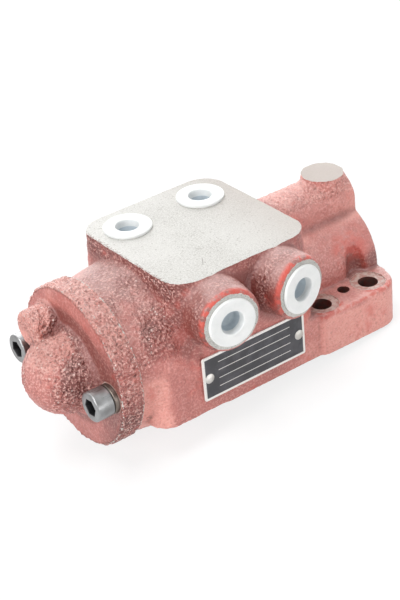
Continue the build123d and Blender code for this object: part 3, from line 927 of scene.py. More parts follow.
        # Painted light: low on the drum's front, on the foot's front, low on the wall's right end and on the
        # gallery tube's side.
        pale = 1.1 * smoothstep(x, -118, -126) * smoothstep(z, 34, 24) * front
        pale = pale + 0.7 * smoothstep(x, -28, -22) * smoothstep(z, 22, 18) * smoothstep(y, -48, -50)
        pale = pale + 0.5 * smoothstep(x, -46, -34) * smoothstep(z, 34, 26) * smoothstep(y, -44, -47)
        pale = pale + 0.6 * smoothstep(x, -24, -16) * smoothstep(z, 47, 51)
        # The paint's own red drifts at random.
        drift = 0.35 * solid_noise(points, 24, 21) + 0.25 * solid_noise(points, 9, 22)
        return np.clip(deep - pale + drift, -1, 1)

    def edge_way(self, points: np.ndarray) -> np.ndarray:
        """To the edges of the pad, the boss, the seam, the end, the base, the side ports and the spot faces.

        Args:
            points: The places in millimetres.

        Returns:
            The way from each point in millimetres.
        """
        x, y, z = points.T
        on_pad = (np.abs(x - self.pad_centre_x) < self.pad_half[0] + 3) & (np.abs(y) < self.pad_half[1] + 3)
        on_boss = np.hypot(x - self.boss_x, y) < self.boss_r + 3.5
        ways = [np.where(on_pad | on_boss, self.pad_height - z, FAR), np.abs(x - self.seam_x)]
        ways += [np.abs(self.end_x - x), np.where(x > self.base_from, np.abs(z), FAR)]
        for port in self.side_ports:
            depth, across = self.from_port(points, port)
            ways.append(np.where(across < 24, np.abs(depth), FAR))
        for bolt_x, side in product((-self.bolt_x, self.bolt_x), (-1, 1)):
            from_bolt = np.hypot(x - bolt_x, y - side * self.bolt_y)
            ways.append(np.where(z > self.foot_top - 2, np.abs(from_bolt - self.spot_r), FAR))
        return np.min(ways, 0)


@dataclass
class EndCover(Casting):
    """The cover casting, with its coarse rim and the smooth face round its dome."""

    name: str = "cover_casting"
    node: str = "end_cover"
    voxel: float = 0.5
    soften: int = 14
    axis_height: float = AXIS_HEIGHT
    rise: float = 1.0
    back_x: float = -135.7
    front_x: float = COVER_FRONT_X
    flange_r: float = 44.0
    spigot_r: float = 17.85
    relief_bore: Point = RELIEF_BORE
    cover_screws: tuple[Pair, ...] = COVER_SCREWS
    screw_hole_r: float = 5.5
    spot_r: float = 8.6
    allowance: float = 3.2

    def __post_init__(self) -> None:
        """Lists the stock and the tools."""
        z, back, front = self.axis_height, self.back_x, self.front_x
        relief_y, relief_z, relief_r = self.relief_bore
        self.stock = [Tool((back, 0, z + self.rise), -1, self.allowance, self.flange_r, TO_FEET)]
        self.tools = [
            Tool((back, 0, z), 0, 8, 60, TO_FEET, face=Face.MACHINED, fills=0, hollow=self.spigot_r),
            Tool((back, 0, z), 4.5, 12, 40, TO_FEET, face=Face.MACHINED, fills=0),
            Tool((0, 0, z), -168.9, back + 4.5, 13.5, TO_FEET),
            Tool((0, relief_y, relief_z), -160.9, back, relief_r, TO_FEET),
        ]
        spot = {"face": Face.SPOTTED, "fills": 0, "past": (0, 0.1)}
        for y, up in self.cover_screws:
            self.tools.append(Tool((0, y, up), front, back, self.screw_hole_r, TO_FEET, past=(4, 4)))
            self.tools.append(Tool((front, y, up), -3, 0, self.spot_r, TO_FEET, **spot))

    def fillet_weight(self, points: np.ndarray) -> np.ndarray:
        """Even fillets at the roots of the dome and the nub."""
        return smoothstep(points[:, 0], self.front_x + 3, self.front_x) * 0.06

    def rounded(self, points: np.ndarray) -> np.ndarray:
        """Round the nub's end."""
        x, _, z = points.T
        return 0.45 * smoothstep(x, self.front_x - 8, self.front_x - 11) * smoothstep(z, 38, 46)

    def roughness(self, points: np.ndarray) -> np.ndarray:
        """Coarse on the rim's band, the nub's root and the dome, smooth on the front face.

        Args:
            points: The places in millimetres.

        Returns:
            One value for each point.
        """
        x, y, z = points.T
        radius = np.hypot(y, z - self.axis_height - self.rise)
        rim = smoothstep(radius, 42, 43.4)
        dome = smoothstep(x, self.front_x - 1, self.front_x - 5) * smoothstep(radius, 27, 22)
        nub = smoothstep(x, self.front_x, self.front_x - 2)
        patches = smoothstep(solid_noise(points, 13, 12), -0.5, 0.4)
        dome = dome * (0.35 + 0.6 * patches)
        return np.clip(0.1 + 0.9 * rim + dome + 0.7 * nub * smoothstep(z, 42, 48), 0, 1)

    def rims(self, points: np.ndarray) -> np.ndarray:
        """A little fresh paint in patches on the rim and the dome."""
        return 0.3 * smoothstep(solid_noise(points, 16, 14), 0.1, 0.5)

    def wear(self, points: np.ndarray) -> np.ndarray:
        """Least along the top of the rim's front edge, most low down and at the seam."""
        x, _, z = points.T
        return 0.35 + 0.4 * smoothstep(z, 50, 20) + 0.4 * smoothstep(x, self.back_x - 4, self.back_x - 1)

    def light_shade_and_tone(self, points: np.ndarray) -> np.ndarray:
        """Painted shade on the dome's right side, at its root and low on the face, painted light on nub, crown
        and rim, with the paint's own random drift on top.

        Args:
            points: The places in millimetres.

        Returns:
            One value for each point.
        """
        x, y, z = points.T
        # Painted shade: the dome's right side, low on the face round the dome, and the root on its upper right;
        # painted light: the crown and the rim.
        on_dome = smoothstep(x, self.front_x, self.front_x - 3)
        right = on_dome * smoothstep(y, -8, -16) * smoothstep(z, 18, 28) * smoothstep(x, -168, -160)
        low = (1 - on_dome) * smoothstep(z, 56, 40) * smoothstep(y, -12, -24)
        radius = np.hypot(y, z - self.axis_height - self.rise)
        crown = np.maximum(0.3 * smoothstep(x, -158, -168), smoothstep(z, 33, 41))
        crown = on_dome * crown * smoothstep(y, -20, -10)
        rim = smoothstep(radius, 42, 43.5) * smoothstep(z, 10, 30)
        up_right = smoothstep(0.7 * (z - self.axis_height - y), 0, 15) * smoothstep(radius, 36, 31)
        root = smoothstep(np.abs(x - self.front_x + 1.8), 3.0, 0.8) * up_right
        low = np.maximum(low, 1.4 * (1 - on_dome) * smoothstep(np.hypot(y, z - self.axis_height), 34, 26))
        # The paint's own red drifts at random.
        drift = 0.35 * solid_noise(points, 20, 23) + 0.25 * solid_noise(points, 8, 24)
        return np.clip(1.3 * right + 0.65 * low + 1.5 * root - crown - 0.8 * rim + drift, -1, 1)

    def edge_way(self, points: np.ndarray) -> np.ndarray:
        """To the seam and to the rim's front edge.

        Args:
            points: The places in millimetres.

        Returns:
            The way from each point in millimetres.
        """
        x, y, z = points.T
        radius = np.hypot(y, z - self.axis_height - self.rise)
        front_edge = np.hypot(x - self.front_x - 0.6, radius - self.flange_r + 0.6)
        return np.minimum(np.abs(x - self.back_x), front_edge)


class Nodes:
    """Short calls for building a node tree."""

    def __init__(self, tree: NodeTree) -> None:
        """Works on one tree."""
        self.tree = tree

    def add(self, kind: str, **settings: object) -> Node:
        """Adds a node and sets its own settings.

        Args:
            kind: The node's type.
            settings: Its properties by name.

        Returns:
            The node.
        """
        node = self.tree.nodes.new(kind)
        for name, value in settings.items():
            setattr(node, name, value)
        return node

    def put(self, socket: NodeSocket, value: Signal | Colour | None) -> None:
        """Links a socket to another or sets its value.

        Args:
            socket: The input.
            value: Another node's socket, a value, or None to leave the input as it is.
        """
        if isinstance(value, NodeSocket):
            self.tree.links.new(value, socket)
        elif value is not None:
            socket.default_value = value

    def math(self, operation: str, *values: Signal) -> NodeSocket:
        """One step of arithmetic.

        Args:
            operation: Its name.
            values: What it works on, one to three values.

        Returns:
            The result's socket.
        """
        node = self.add("ShaderNodeMath", operation=operation)
        for socket, value in zip(node.inputs, values):
            self.put(socket, value)
        return node.outputs[0]

    def span(
        self, value: Signal, low: float, high: float, to_low: float = 0.0, to_high: float = 1.0
    ) -> NodeSocket:
        """Maps a value smoothly from one span to another.

        Args:
            value: The value.
            low: The first span's start.
            high: Its end.
            to_low: The second span's start.
            to_high: Its end.

        Returns:
            The result's socket.
        """
        node = self.add("ShaderNodeMapRange", interpolation_type="SMOOTHSTEP")
        names = ("Value", "From Min", "From Max", "To Min", "To Max")
        for name, part in zip(names, (value, low, high, to_low, to_high)):
            self.put(node.inputs[name], part)
        return node.outputs["Result"]

    def mix(self, factor: Signal, first: Signal | Colour, second: Signal | Colour) -> NodeSocket:
        """Mixes two colours.

        Args:
            factor: The second colour's share.
            first: One colour.
            second: The other.

        Returns:
            The result's socket.
        """
        node = self.add("ShaderNodeMix", data_type="RGBA")
        self.put(node.inputs["Factor"], factor)
        colours = [s for s in node.inputs if s.type == "RGBA"]
        self.put(colours[0], first)
        self.put(colours[1], second)
        return next(s for s in node.outputs if s.type == "RGBA")

    def noise(self, place: NodeSocket, scale: Signal, detail: float = 2.0, rough: float = 0.5) -> NodeSocket:
        """Noise through space.

        Args:
            place: Where it is read.
            scale: How many lumps to the millimetre.
            detail: How many finer layers.
            rough: How strong they are.

        Returns:
            Its value's socket.
        """
        node = self.add("ShaderNodeTexNoise")
        for name, value in (("Vector", place), ("Scale", scale), ("Detail", detail), ("Roughness", rough)):
            self.put(node.inputs[name], value)
        return node.outputs[0]

    def scratch(self, place: NodeSocket, start: Pair, end: Pair, half: float) -> NodeSocket:
        """A hairline between two places seen from above, in millimetres.

        Args:
            place: Where it is read.
            start: One end.
            end: The other.
            half: Half its width.

        Returns:
            The mask's socket.
        """
        way = Vector(end) - Vector(start)
        along = way.normalized()
        split = self.add("ShaderNodeSeparateXYZ")
        self.put(split.inputs[0], place)
        x = self.math("SUBTRACT", split.outputs["X"], start[0])
        y = self.math("SUBTRACT", split.outputs["Y"], start[1])
        run = self.math("MULTIPLY_ADD", x, along.x, self.math("MULTIPLY", y, along.y))
        off = self.math("ABSOLUTE", self.math("MULTIPLY_ADD", x, -along.y, self.math("MULTIPLY", y, along.x)))
        ends = self.math("MULTIPLY", self.span(run, 0.0, 0.6), self.span(run, way.length, way.length - 0.6))
        return self.math("MULTIPLY", self.span(off, half, half * 0.4), ends)

    def soft_cells(self, place: NodeSocket, scale: float) -> NodeSocket:
        """Soft-edged cells through space.

        Args:
            place: Where they are read.
            scale: How many to the millimetre.

        Returns:
            The distance's socket.
        """
        node = self.add("ShaderNodeTexVoronoi", feature="SMOOTH_F1")
        self.put(node.inputs["Vector"], place)
        self.put(node.inputs["Scale"], scale)
        return node.outputs["Distance"]

    def background_rays(self) -> NodeSocket:
        """1 for the rays that see the background: the camera's, those in gloss and those through glass.

        Returns:
            The value's socket.
        """
        path = self.add("ShaderNodeLightPath")
        direct = self.math("MAXIMUM", path.outputs["Is Camera Ray"], path.outputs["Is Glossy Ray"])
        return self.math("MAXIMUM", direct, path.outputs["Is Transmission Ray"])

    def group(self, tree: NodeTree, **values: Signal) -> Node:
        """Places a shared group.

        Args:
            tree: The group.
            values: What its inputs get, by name.

        Returns:
            The group's node.
        """
        node = self.add("ShaderNodeGroup")
        node.node_tree = tree
        for name, value in values.items():
            self.put(node.inputs[name], value)
        return node


def new_group(
    name: str, inputs: dict[str, float | None], outputs: tuple[str, ...]
) -> tuple[NodeTree, Nodes, Node, Node]:
    """Starts a shared group of shader nodes.

    Args:
        name: The group's name.
        inputs: For each input its usual value, or None for a vector.
        outputs: The outputs, all plain values.

    Returns:
        The tree, its helper, the inner node of its inputs and that of its outputs.
    """
    tree = bpy.data.node_groups.new(name, "ShaderNodeTree")
    for label, value in inputs.items():
        kind = "NodeSocketVector" if value is None else "NodeSocketFloat"
        socket = tree.interface.new_socket(label, in_out="INPUT", socket_type=kind)
        if value is not None:
            socket.default_value = value
    for label in outputs:
        tree.interface.new_socket(label, in_out="OUTPUT", socket_type="NodeSocketFloat")
    nodes = Nodes(tree)
    return tree, nodes, nodes.add("NodeGroupInput"), nodes.add("NodeGroupOutput")


class Effects:
    """The effects that several finishes share, each built once as a node group."""

    def __init__(self) -> None:
        """Builds the groups."""
        self.sand = self.sand_print()
        self.chips = self.edge_chips()
        self.specks = self.fine_specks()
        self.scuffs = self.hairline_scuffs()
        self.dust_and_sheen = self.settled_dust_and_sheen()

    @staticmethod
    def sand_print() -> NodeTree:
        """The print of moulding sand: its height, and the masks of its tops and pits that take a painted
        highlight and a painted shade.

        Returns:
            The group.
        """
        tree, n, inner, outer = new_group(
            "sand_print", {"Place": None, "Coarse": 0.3}, ("Height", "Tops", "Pits"))
        place, coarse = inner.outputs["Place"], inner.outputs["Coarse"]
        warp = n.add("ShaderNodeTexNoise")
        n.put(warp.inputs["Vector"], place)
        warp.inputs["Scale"].default_value = 0.5
        moved = n.add("ShaderNodeVectorMath", operation="MULTIPLY_ADD")
        n.put(moved.inputs[0], warp.outputs["Color"])
        moved.inputs[1].default_value = (1.6, 1.6, 1.6)
        n.put(moved.inputs[2], place)
        lumps = n.span(n.soft_cells(moved.outputs[0], 0.62), 0.1, 0.75, 1.0, 0.0)
        fine = n.noise(place, 0.85, 3.0, 0.58)
        mild = n.math("MULTIPLY_ADD", n.noise(place, 0.5, 2.0, 0.5), 0.35, n.math("MULTIPLY", fine, 0.45))
        rough = n.math("MULTIPLY_ADD", lumps, 0.5, n.math("MULTIPLY", fine, 0.9))
        height = n.add("ShaderNodeMix")
        n.put(height.inputs[0], n.span(coarse, 0.1, 0.95))
        n.put(height.inputs[2], mild)
        n.put(height.inputs[3], rough)
        n.put(outer.inputs["Height"], height.outputs[0])
        # Tops and Pits come from the same noise as the height and carry a painted highlight and a painted
        # shade.
        n.put(outer.inputs["Tops"], n.span(fine, 0.5, 0.62))
        n.put(outer.inputs["Pits"], n.math("MULTIPLY", n.span(fine, 0.47, 0.34), n.span(lumps, 0.95, 0.3)))
        return tree

    @staticmethod
    def edge_chips() -> NodeTree:
        """Ragged chips along an edge: a mask that fades with the way to it in millimetres.

        Returns:
            The group.
        """
        tree, n, inner, outer = new_group(
            "edge_chips", {"Place": None, "Way": 9.0, "Reach": 1.0, "Grain": 1.0}, ("Mask",))
        place = inner.outputs["Place"]
        ragged = n.noise(place, n.math("MULTIPLY", inner.outputs["Grain"], 0.9), 3.0, 0.55)
        limit = n.math("MULTIPLY", n.span(ragged, 0.42, 0.72), inner.outputs["Reach"])
        mask = n.math("SUBTRACT", limit, inner.outputs["Way"])
        n.put(outer.inputs["Mask"], n.span(mask, -0.08, 0.08))
        return tree

    @staticmethod
    def fine_specks() -> NodeTree:
        """Small separate specks, as of flaked paint, dust or open pores.

        Returns:
            The group.
        """
        tree, n, inner, outer = new_group(
            "fine_specks", {"Place": None, "Size": 1.0, "Share": 0.1}, ("Mask",))
        scale = n.math("DIVIDE", 1.0, inner.outputs["Size"])
        cell = n.add("ShaderNodeTexVoronoi")
        n.put(cell.inputs["Vector"], inner.outputs["Place"])
        n.put(cell.inputs["Scale"], scale)
        pick = n.add("ShaderNodeSeparateColor")
        n.put(pick.inputs[0], cell.outputs["Color"])
        chosen = n.math("LESS_THAN", pick.outputs[0], inner.outputs["Share"])
        limit = n.span(pick.outputs[1], 0.0, 1.0, 0.12, 0.42)
        inside = n.span(n.math("SUBTRACT", limit, cell.outputs["Distance"]), -0.03, 0.05)
        n.put(outer.inputs["Mask"], n.math("MULTIPLY", chosen, inside))
        return tree

    @staticmethod
    def hairline_scuffs() -> NodeTree:
        """Thin lines in one direction, as a cutter or a brush leaves them.

        Returns:
            The group.
        """
        tree, n, inner, outer = new_group("hairline_scuffs", {"Place": None, "Pitch": 0.5}, ("Height",))
        stretch = n.add("ShaderNodeMapping")
        stretch.inputs["Scale"].default_value = (0.02, 1.0, 1.0)
        n.put(stretch.inputs["Vector"], inner.outputs["Place"])
        scale = n.math("DIVIDE", 1.0, inner.outputs["Pitch"])
        n.put(outer.inputs["Height"], n.noise(stretch.outputs[0], scale, 2.0, 0.6))
        return tree

    @staticmethod
    def settled_dust_and_sheen() -> NodeTree:
        """Fine pale dust with a painted sheen on what faces up: a mask from the surface's own normal.

        Returns:
            The group.
        """
        tree, n, inner, outer = new_group(
            "settled_dust_and_sheen", {"Place": None, "Normal": None, "Share": 0.4}, ("Mask",))
        split = n.add("ShaderNodeSeparateXYZ")
        n.put(split.inputs[0], inner.outputs["Normal"])
        facing = n.span(split.outputs["Z"], 0.1, 0.95)
        broken = n.span(n.noise(inner.outputs["Place"], 0.14, 3.0, 0.6), 0.36, 0.6, 0.45, 1.0)
        mask = n.math("MULTIPLY", n.math("MULTIPLY", facing, broken), inner.outputs["Share"])
        n.put(outer.inputs["Mask"], mask)
        return tree


class Dress:
    """A material in the making: its tree, its Principled BSDF and the place in millimetres."""

    def __init__(self, name: str) -> None:
        """Starts a material of that name.

        Args:
            name: Its name.
        """
        self.material = bpy.data.materials.new(name)
        self.material.use_nodes = True
        self.n = Nodes(self.material.node_tree)
        self.shader = next(x for x in self.material.node_tree.nodes if x.type == "BSDF_PRINCIPLED")
        coordinates = self.n.add("ShaderNodeTexCoord")
        scale = self.n.add("ShaderNodeVectorMath", operation="SCALE")
        self.n.put(scale.inputs[0], coordinates.outputs["Object"])
        scale.inputs["Scale"].default_value = 1 / MM
        self.place = scale.outputs[0]

    def dusted_and_sheened(self, fx: Effects, colour: NodeSocket, dust_and_sheen: Colour, share: float) -> NodeSocket:
        """Lays dust and a painted sheen on the colour where the surface faces up.

        Args:
            fx: The shared effects.
            colour: The clean colour's socket.
            dust_and_sheen: The colour of the dust and of the painted sheen.
            share: How much it hides.

        Returns:
            The new colour's socket.
        """
        normal = self.n.add("ShaderNodeNewGeometry").outputs["Normal"]
        mask = self.n.group(fx.dust_and_sheen, Place=self.place, Normal=normal, Share=share).outputs["Mask"]
        return self.n.mix(mask, colour, dust_and_sheen)

    def attribute(self, name: str) -> NodeSocket:
        """A value that is stored on the mesh."""
        return self.n.add("ShaderNodeAttribute", attribute_name=name).outputs["Fac"]

    def set(self, **values: Signal | Colour | Point) -> None:
        """Sets or links the shader's sockets by name, with _ for a space."""
        for name, value in values.items():
            self.n.put(self.shader.inputs[name.replace("_", " ")], value)

    def bump(self, height: NodeSocket, depth: float) -> None:
        """Gives the shader a bump.

        Args:
            height: The height's socket.
            depth: The bump's depth in millimetres.
        """
        node = self.n.add("ShaderNodeBump")
        node.inputs["Strength"].default_value = 1.0
        node.inputs["Distance"].default_value = depth * MM
        self.n.put(node.inputs["Height"], height)
        self.n.put(self.shader.inputs["Normal"], node.outputs["Normal"])


@dataclass(frozen=True)
class PrimerPaint:
    """Matt red primer on rough iron, brighter where it was touched up and chipped at machined faces, with
    painted light, shade, highlights, glints and sheen laid into its colour.
    """

    body: Colour = srgb(184, 102, 93)
    # Dark red of the painted shade.
    thick: Colour = srgb(126, 54, 45)
    # Dark red of the painted shade in the sand's pits.
    deep: Colour = srgb(92, 36, 30)
    # Dark red of the painted shade in creases and hollows.
    crease_shade: Colour = srgb(112, 42, 33)
    # Pale red of the painted light.
    light: Colour = srgb(221, 144, 132)
    # Pale red of the painted highlight on the sand's tops.
    pale: Colour = srgb(240, 186, 176)
    # Pale colour of the dust and of the painted sheen on what faces up.
    dust_and_sheen: Colour = srgb(232, 196, 189)
    fresh: Colour = srgb(196, 66, 47)
    # Near-white of flaked paint together with painted glints.
    flake_and_glint: Colour = srgb(244, 214, 206)
    bare: Colour = srgb(222, 212, 205)
    roughness: float = 0.45

    def make(self, fx: Effects) -> Material:
        """Builds the material for the castings' skin.

        Args:
            fx: The shared effects.

        Returns:
            The material.
        """
        d = Dress("red_primer")
        n = d.n
        coarse, hollow, edge = d.attribute("coarse"), d.attribute("hollow"), d.attribute("edge_mm")
        sand = n.group(fx.sand, Place=d.place, Coarse=coarse)
        light_shade_and_tone = d.attribute("light_shade_and_tone")
        # Painted shade darkens the red where the mask is above 0, and painted light pales it where the mask is
        # below 0.
        colour = n.mix(n.span(light_shade_and_tone, 0.0, 0.9), self.body, self.thick)
        colour = n.mix(n.span(light_shade_and_tone, 0.0, -0.9), colour, self.light)
        # Painted highlights on the sand's tops and painted shade in its pits.
        tops = n.math("MULTIPLY", sand.outputs["Tops"], n.span(coarse, 0.1, 0.9, 0.25, 0.9))
        pits = n.math("MULTIPLY", sand.outputs["Pits"], n.span(coarse, 0.1, 0.9, 0.25, 0.65))
        colour = n.mix(pits, n.mix(tops, colour, self.pale), self.deep)
        patch = n.span(n.noise(d.place, 0.07, 3.0, 0.6), 0.56, 0.72, 0.0, 0.5)
        cloud = n.span(n.noise(d.place, 0.12, 3.0, 0.6), 0.36, 0.56)
        touched = n.math("MULTIPLY", d.attribute("fresh"), cloud)
        colour = n.mix(n.math("MAXIMUM", patch, touched), colour, self.fresh)
        # Dust together with a painted sheen on what faces up.
        colour = d.dusted_and_sheened(fx, colour, self.dust_and_sheen, 0.3)
        # Painted shade in creases and hollows, taken from the skin's curvature.
        colour = n.mix(n.span(hollow, 0.02, 0.1, 0.0, 0.6), colour, self.crease_shade)
        colour = n.mix(n.span(d.attribute("shade"), 0.004, 0.024, 0.0, 0.7), colour, self.crease_shade)
        convex = n.span(hollow, -0.02, -0.1)
        near_edge = n.math("MAXIMUM", n.span(edge, 3.6, 1.2), convex)
        broken = n.span(n.noise(d.place, 0.22, 4.0, 0.6), 0.4, 0.54)
        rim = n.math("MULTIPLY", n.math("MULTIPLY", near_edge, d.attribute("rims")), broken)
        colour = n.mix(rim, colour, self.fresh)
        reach = d.attribute("wear")
        chip = n.group(fx.chips, Place=d.place, Way=edge, Reach=reach, Grain=0.6).outputs["Mask"]
        share = n.math("MULTIPLY", coarse, 0.12)
        speck = n.group(fx.specks, Place=d.place, Size=1.5, Share=share).outputs["Mask"]
        # Pale specks in coarse zones: flaked paint together with painted glints.
        colour = n.mix(n.math("MULTIPLY", speck, n.span(coarse, 0.35, 0.8)), colour, self.flake_and_glint)
        bare = n.math("MAXIMUM", chip, n.math("MULTIPLY", speck, n.span(coarse, 0.35, 0.8, 0.0, 0.3)))
        colour = n.mix(chip, colour, self.bare)
        d.set(Base_Color=colour, Roughness=n.span(bare, 0, 1, self.roughness, 0.4))
        d.set(Specular_IOR_Level=1.0)
        height = n.math("MULTIPLY", sand.outputs["Height"], n.span(coarse, 0.0, 1.0, 0.5, 1.0))
        d.bump(n.math("MULTIPLY_ADD", bare, -0.15, height), 2.4)
        return d.material


@dataclass(frozen=True)
class SpottedIron:
    """A spot-faced seat that was thinly painted over and rubbed bare in places."""

    bare: Colour = srgb(206, 186, 178)
    paint: Colour = srgb(186, 138, 128)

    def make(self, fx: Effects) -> Material:
        """Builds the material for the spot faces.

        Args:
            fx: The shared effects.

        Returns:
            The material.
        """
        d = Dress("spotted_iron")
        n = d.n
        rubbed = n.span(n.noise(d.place, 0.35, 4.0, 0.65), 0.4, 0.6)
        pores = n.group(fx.specks, Place=d.place, Size=0.9, Share=0.25).outputs["Mask"]
        colour = n.mix(rubbed, self.bare, self.paint)
        colour = n.mix(n.math("MULTIPLY", pores, 0.5), colour, self.paint)
        d.set(Base_Color=colour, Roughness=0.5)
        d.bump(n.math("MULTIPLY_ADD", pores, -0.4, n.noise(d.place, 1.2, 3.0)), 0.12)
        return d.material


@dataclass(frozen=True)
class MilledIron:
    """Bare milled cast iron: pale grey with fine open graphite and a few hairlines."""

    light: Colour = srgb(206, 205, 201)
    dull: Colour = srgb(176, 174, 169)
    pore: Colour = srgb(124, 118, 111)
    film: Colour = srgb(176, 165, 158)
    frayed: Colour = srgb(120, 84, 78)
    fray_x: float = -110.9
    scratches: tuple[tuple[Pair, Pair], ...] = (
        ((-79.6, -18.3), (-76.9, -21.1)),
        ((-82.8, -28.2), (-86.8, -34.3)),
        ((-103.6, 35.5), (-98.8, 32.2)),
    )

    def make(self, fx: Effects) -> Material:
        """Builds the material for the milled faces.

        Args:
            fx: The shared effects.

        Returns:
            The material.
        """
        d = Dress("milled_iron")
        n = d.n
        grain = n.noise(d.place, 1.3, 3.0, 0.7)
        colour = n.mix(n.span(grain, 0.36, 0.66), self.dull, self.light)
        cloud = n.noise(d.place, 0.035, 3.0, 0.55)
        colour = n.mix(n.span(cloud, 0.35, 0.7, 0.0, 0.45), colour, self.light)
        pores = n.group(fx.specks, Place=d.place, Size=1.1, Share=0.25).outputs["Mask"]
        colour = n.mix(n.math("MULTIPLY", pores, 0.5), colour, self.pore)
        for start, end in self.scratches:
            colour = n.mix(n.math("MULTIPLY", n.scratch(d.place, start, end, 0.3), 0.7), colour, self.pore)
        split = n.add("ShaderNodeSeparateXYZ")
        n.put(split.inputs[0], d.place)
        from_fray = n.math("ABSOLUTE", n.math("SUBTRACT", split.outputs["X"], self.fray_x))
        colour = n.mix(n.span(split.outputs["X"], -70.0, 10.0, 0.0, 0.9), colour, self.film)
        fray = n.group(fx.chips, Place=d.place, Way=from_fray, Reach=2.4, Grain=1.2).outputs["Mask"]
        colour = n.mix(n.math("MULTIPLY", fray, 0.8), colour, self.frayed)
        d.set(Base_Color=colour, Metallic=0.1, Roughness=n.span(grain, 0.3, 0.7, 0.55, 0.42))
        d.bump(n.math("MULTIPLY_ADD", pores, -0.4, grain), 0.05)
        return d.material


@dataclass(frozen=True)
class DrilledIron:
    """The walls of the holes: dull brown iron with some paint in their mouths."""

    wall: Colour = srgb(92, 66, 60)
    red: Colour = srgb(120, 62, 54)

    def make(self, fx: Effects) -> Material:
        """Builds the material for the drilled walls.

        Args:
            fx: The shared effects.

        Returns:
            The material.
        """
        d = Dress("drilled_iron")
        n = d.n
        colour = n.mix(n.span(n.noise(d.place, 0.3, 3.0), 0.4, 0.65), self.wall, self.red)
        d.set(Base_Color=colour, Metallic=0.2, Roughness=0.55)
        d.bump(n.noise(d.place, 2.0, 2.0), 0.06)
        return d.material


@dataclass(frozen=True)
class Steel:
    """Plain or plated steel with light brushing and small marks."""

    name: str
    light: Colour
    dark: Colour
    roughness: float = 0.28
    metallic: float = 1.0

    def make(self, fx: Effects) -> Material:
        """Builds the material for one kind of steel.

        Args:
            fx: The shared effects.

        Returns:
            The material.
        """
        d = Dress(self.name)
        n = d.n
        cloud = n.noise(d.place, 0.12, 2.0, 0.5)
        specks = n.group(fx.specks, Place=d.place, Size=1.0, Share=0.05).outputs["Mask"]
        colour = n.mix(n.span(cloud, 0.3, 0.7), self.dark, self.light)
        colour = n.mix(n.math("MULTIPLY", specks, 0.35), colour, self.dark)
        brushed = n.group(fx.scuffs, Place=d.place, Pitch=0.35).outputs["Height"]
        d.set(Base_Color=colour, Metallic=self.metallic,
              Roughness=n.span(brushed, 0.3, 0.7, self.roughness, self.roughness + 0.14))
        d.bump(n.math("MULTIPLY_ADD", specks, -0.3, brushed), 0.02)
        return d.material


@dataclass(frozen=True)
class SoftStuff:
    """Plastic, rubber or paper: an even colour with faint clouds and a moulded or fibrous grain."""

    name: str
    light: Colour
    dark: Colour
    roughness: float
    grain: float
    depth: float
    through: float = 0.0

    def make(self, fx: Effects) -> Material:
        """Builds the material for one soft stuff.

        Args:
            fx: The shared effects.

        Returns:
            The material.
        """
        d = Dress(self.name)
        n = d.n
        cloud = n.noise(d.place, 0.16, 3.0, 0.6)
        marks = n.group(fx.specks, Place=d.place, Size=1.6, Share=0.1).outputs["Mask"]
        colour = n.mix(n.span(cloud, 0.35, 0.7), self.light, self.dark)
        colour = n.mix(n.math("MULTIPLY", marks, 0.12), colour, self.dark)
        d.set(Base_Color=colour, Roughness=n.span(cloud, 0.3, 0.7, self.roughness, self.roughness + 0.1))
        if self.through:
            d.set(Subsurface_Weight=self.through, Subsurface_Scale=2 * MM, Subsurface_Radius=(1.0, 1.0, 1.0))
        d.bump(n.noise(d.place, self.grain, 2.0, 0.6), self.depth)
        return d.material


@dataclass(frozen=True)
class PlateInk:
    """Dark enamel on the nameplate with a white border and blank ruled fields."""

    dark: Colour = srgb(62, 62, 66)
    worn: Colour = srgb(80, 80, 85)
    white: Colour = srgb(236, 234, 230)
    border: float = 1.4
    rule: float = 0.34
    rows: tuple[float, ...] = (-7.0, -2.2, 2.6, 7.4)
    soft: float = 0.06

    def band(self, n: Nodes, value: NodeSocket, middle: float, half: float) -> NodeSocket:
        """The mask of a soft-edged band about one value."""
        off = n.math("ABSOLUTE", n.math("SUBTRACT", value, middle))
        return n.span(off, half + self.soft, half - self.soft)

    def make(self, fx: Effects, low: Vector, high: Vector) -> Material:
        """Builds the material for the plate that fills the given box.

        Args:
            fx: The shared effects.
            low: The plate's lowest corner in metres.
            high: Its highest corner.

        Returns:
            The material.
        """
        d = Dress("plate_enamel")
        n = d.n
        split = n.add("ShaderNodeSeparateXYZ")
        n.put(split.inputs[0], d.place)
        centre = (low + high) / 2 / MM
        half = (high - low) / 2 / MM
        x = n.math("SUBTRACT", split.outputs["X"], centre.x)
        z = n.math("SUBTRACT", split.outputs["Z"], centre.z)
        from_x = n.math("SUBTRACT", half.x, n.math("ABSOLUTE", x))
        from_z = n.math("SUBTRACT", half.z, n.math("ABSOLUTE", z))
        edge = n.math("MINIMUM", from_x, from_z)
        ink = n.span(edge, self.border + self.soft, self.border - self.soft)
        inside_x = n.span(n.math("ABSOLUTE", x), half.x - 9.6, half.x - 9.8)
        for row in self.rows:
            ink = n.math("MAXIMUM", ink, n.math("MULTIPLY", self.band(n, z, row, self.rule / 2), inside_x))
        cloud = n.noise(d.place, 0.12, 3.0, 0.6)
        colour = n.mix(n.span(cloud, 0.35, 0.7), self.dark, self.worn)
        wear = n.group(fx.specks, Place=d.place, Size=0.8, Share=0.18).outputs["Mask"]
        ink = n.math("MULTIPLY", ink, n.math("SUBTRACT", 1.0, n.math("MULTIPLY", wear, 0.45)))
        colour = n.mix(ink, colour, self.white)
        d.set(Base_Color=colour, Metallic=0.25, Roughness=n.span(ink, 0, 1, 0.38, 0.5))
        d.bump(ink, 0.04)
        return d.material


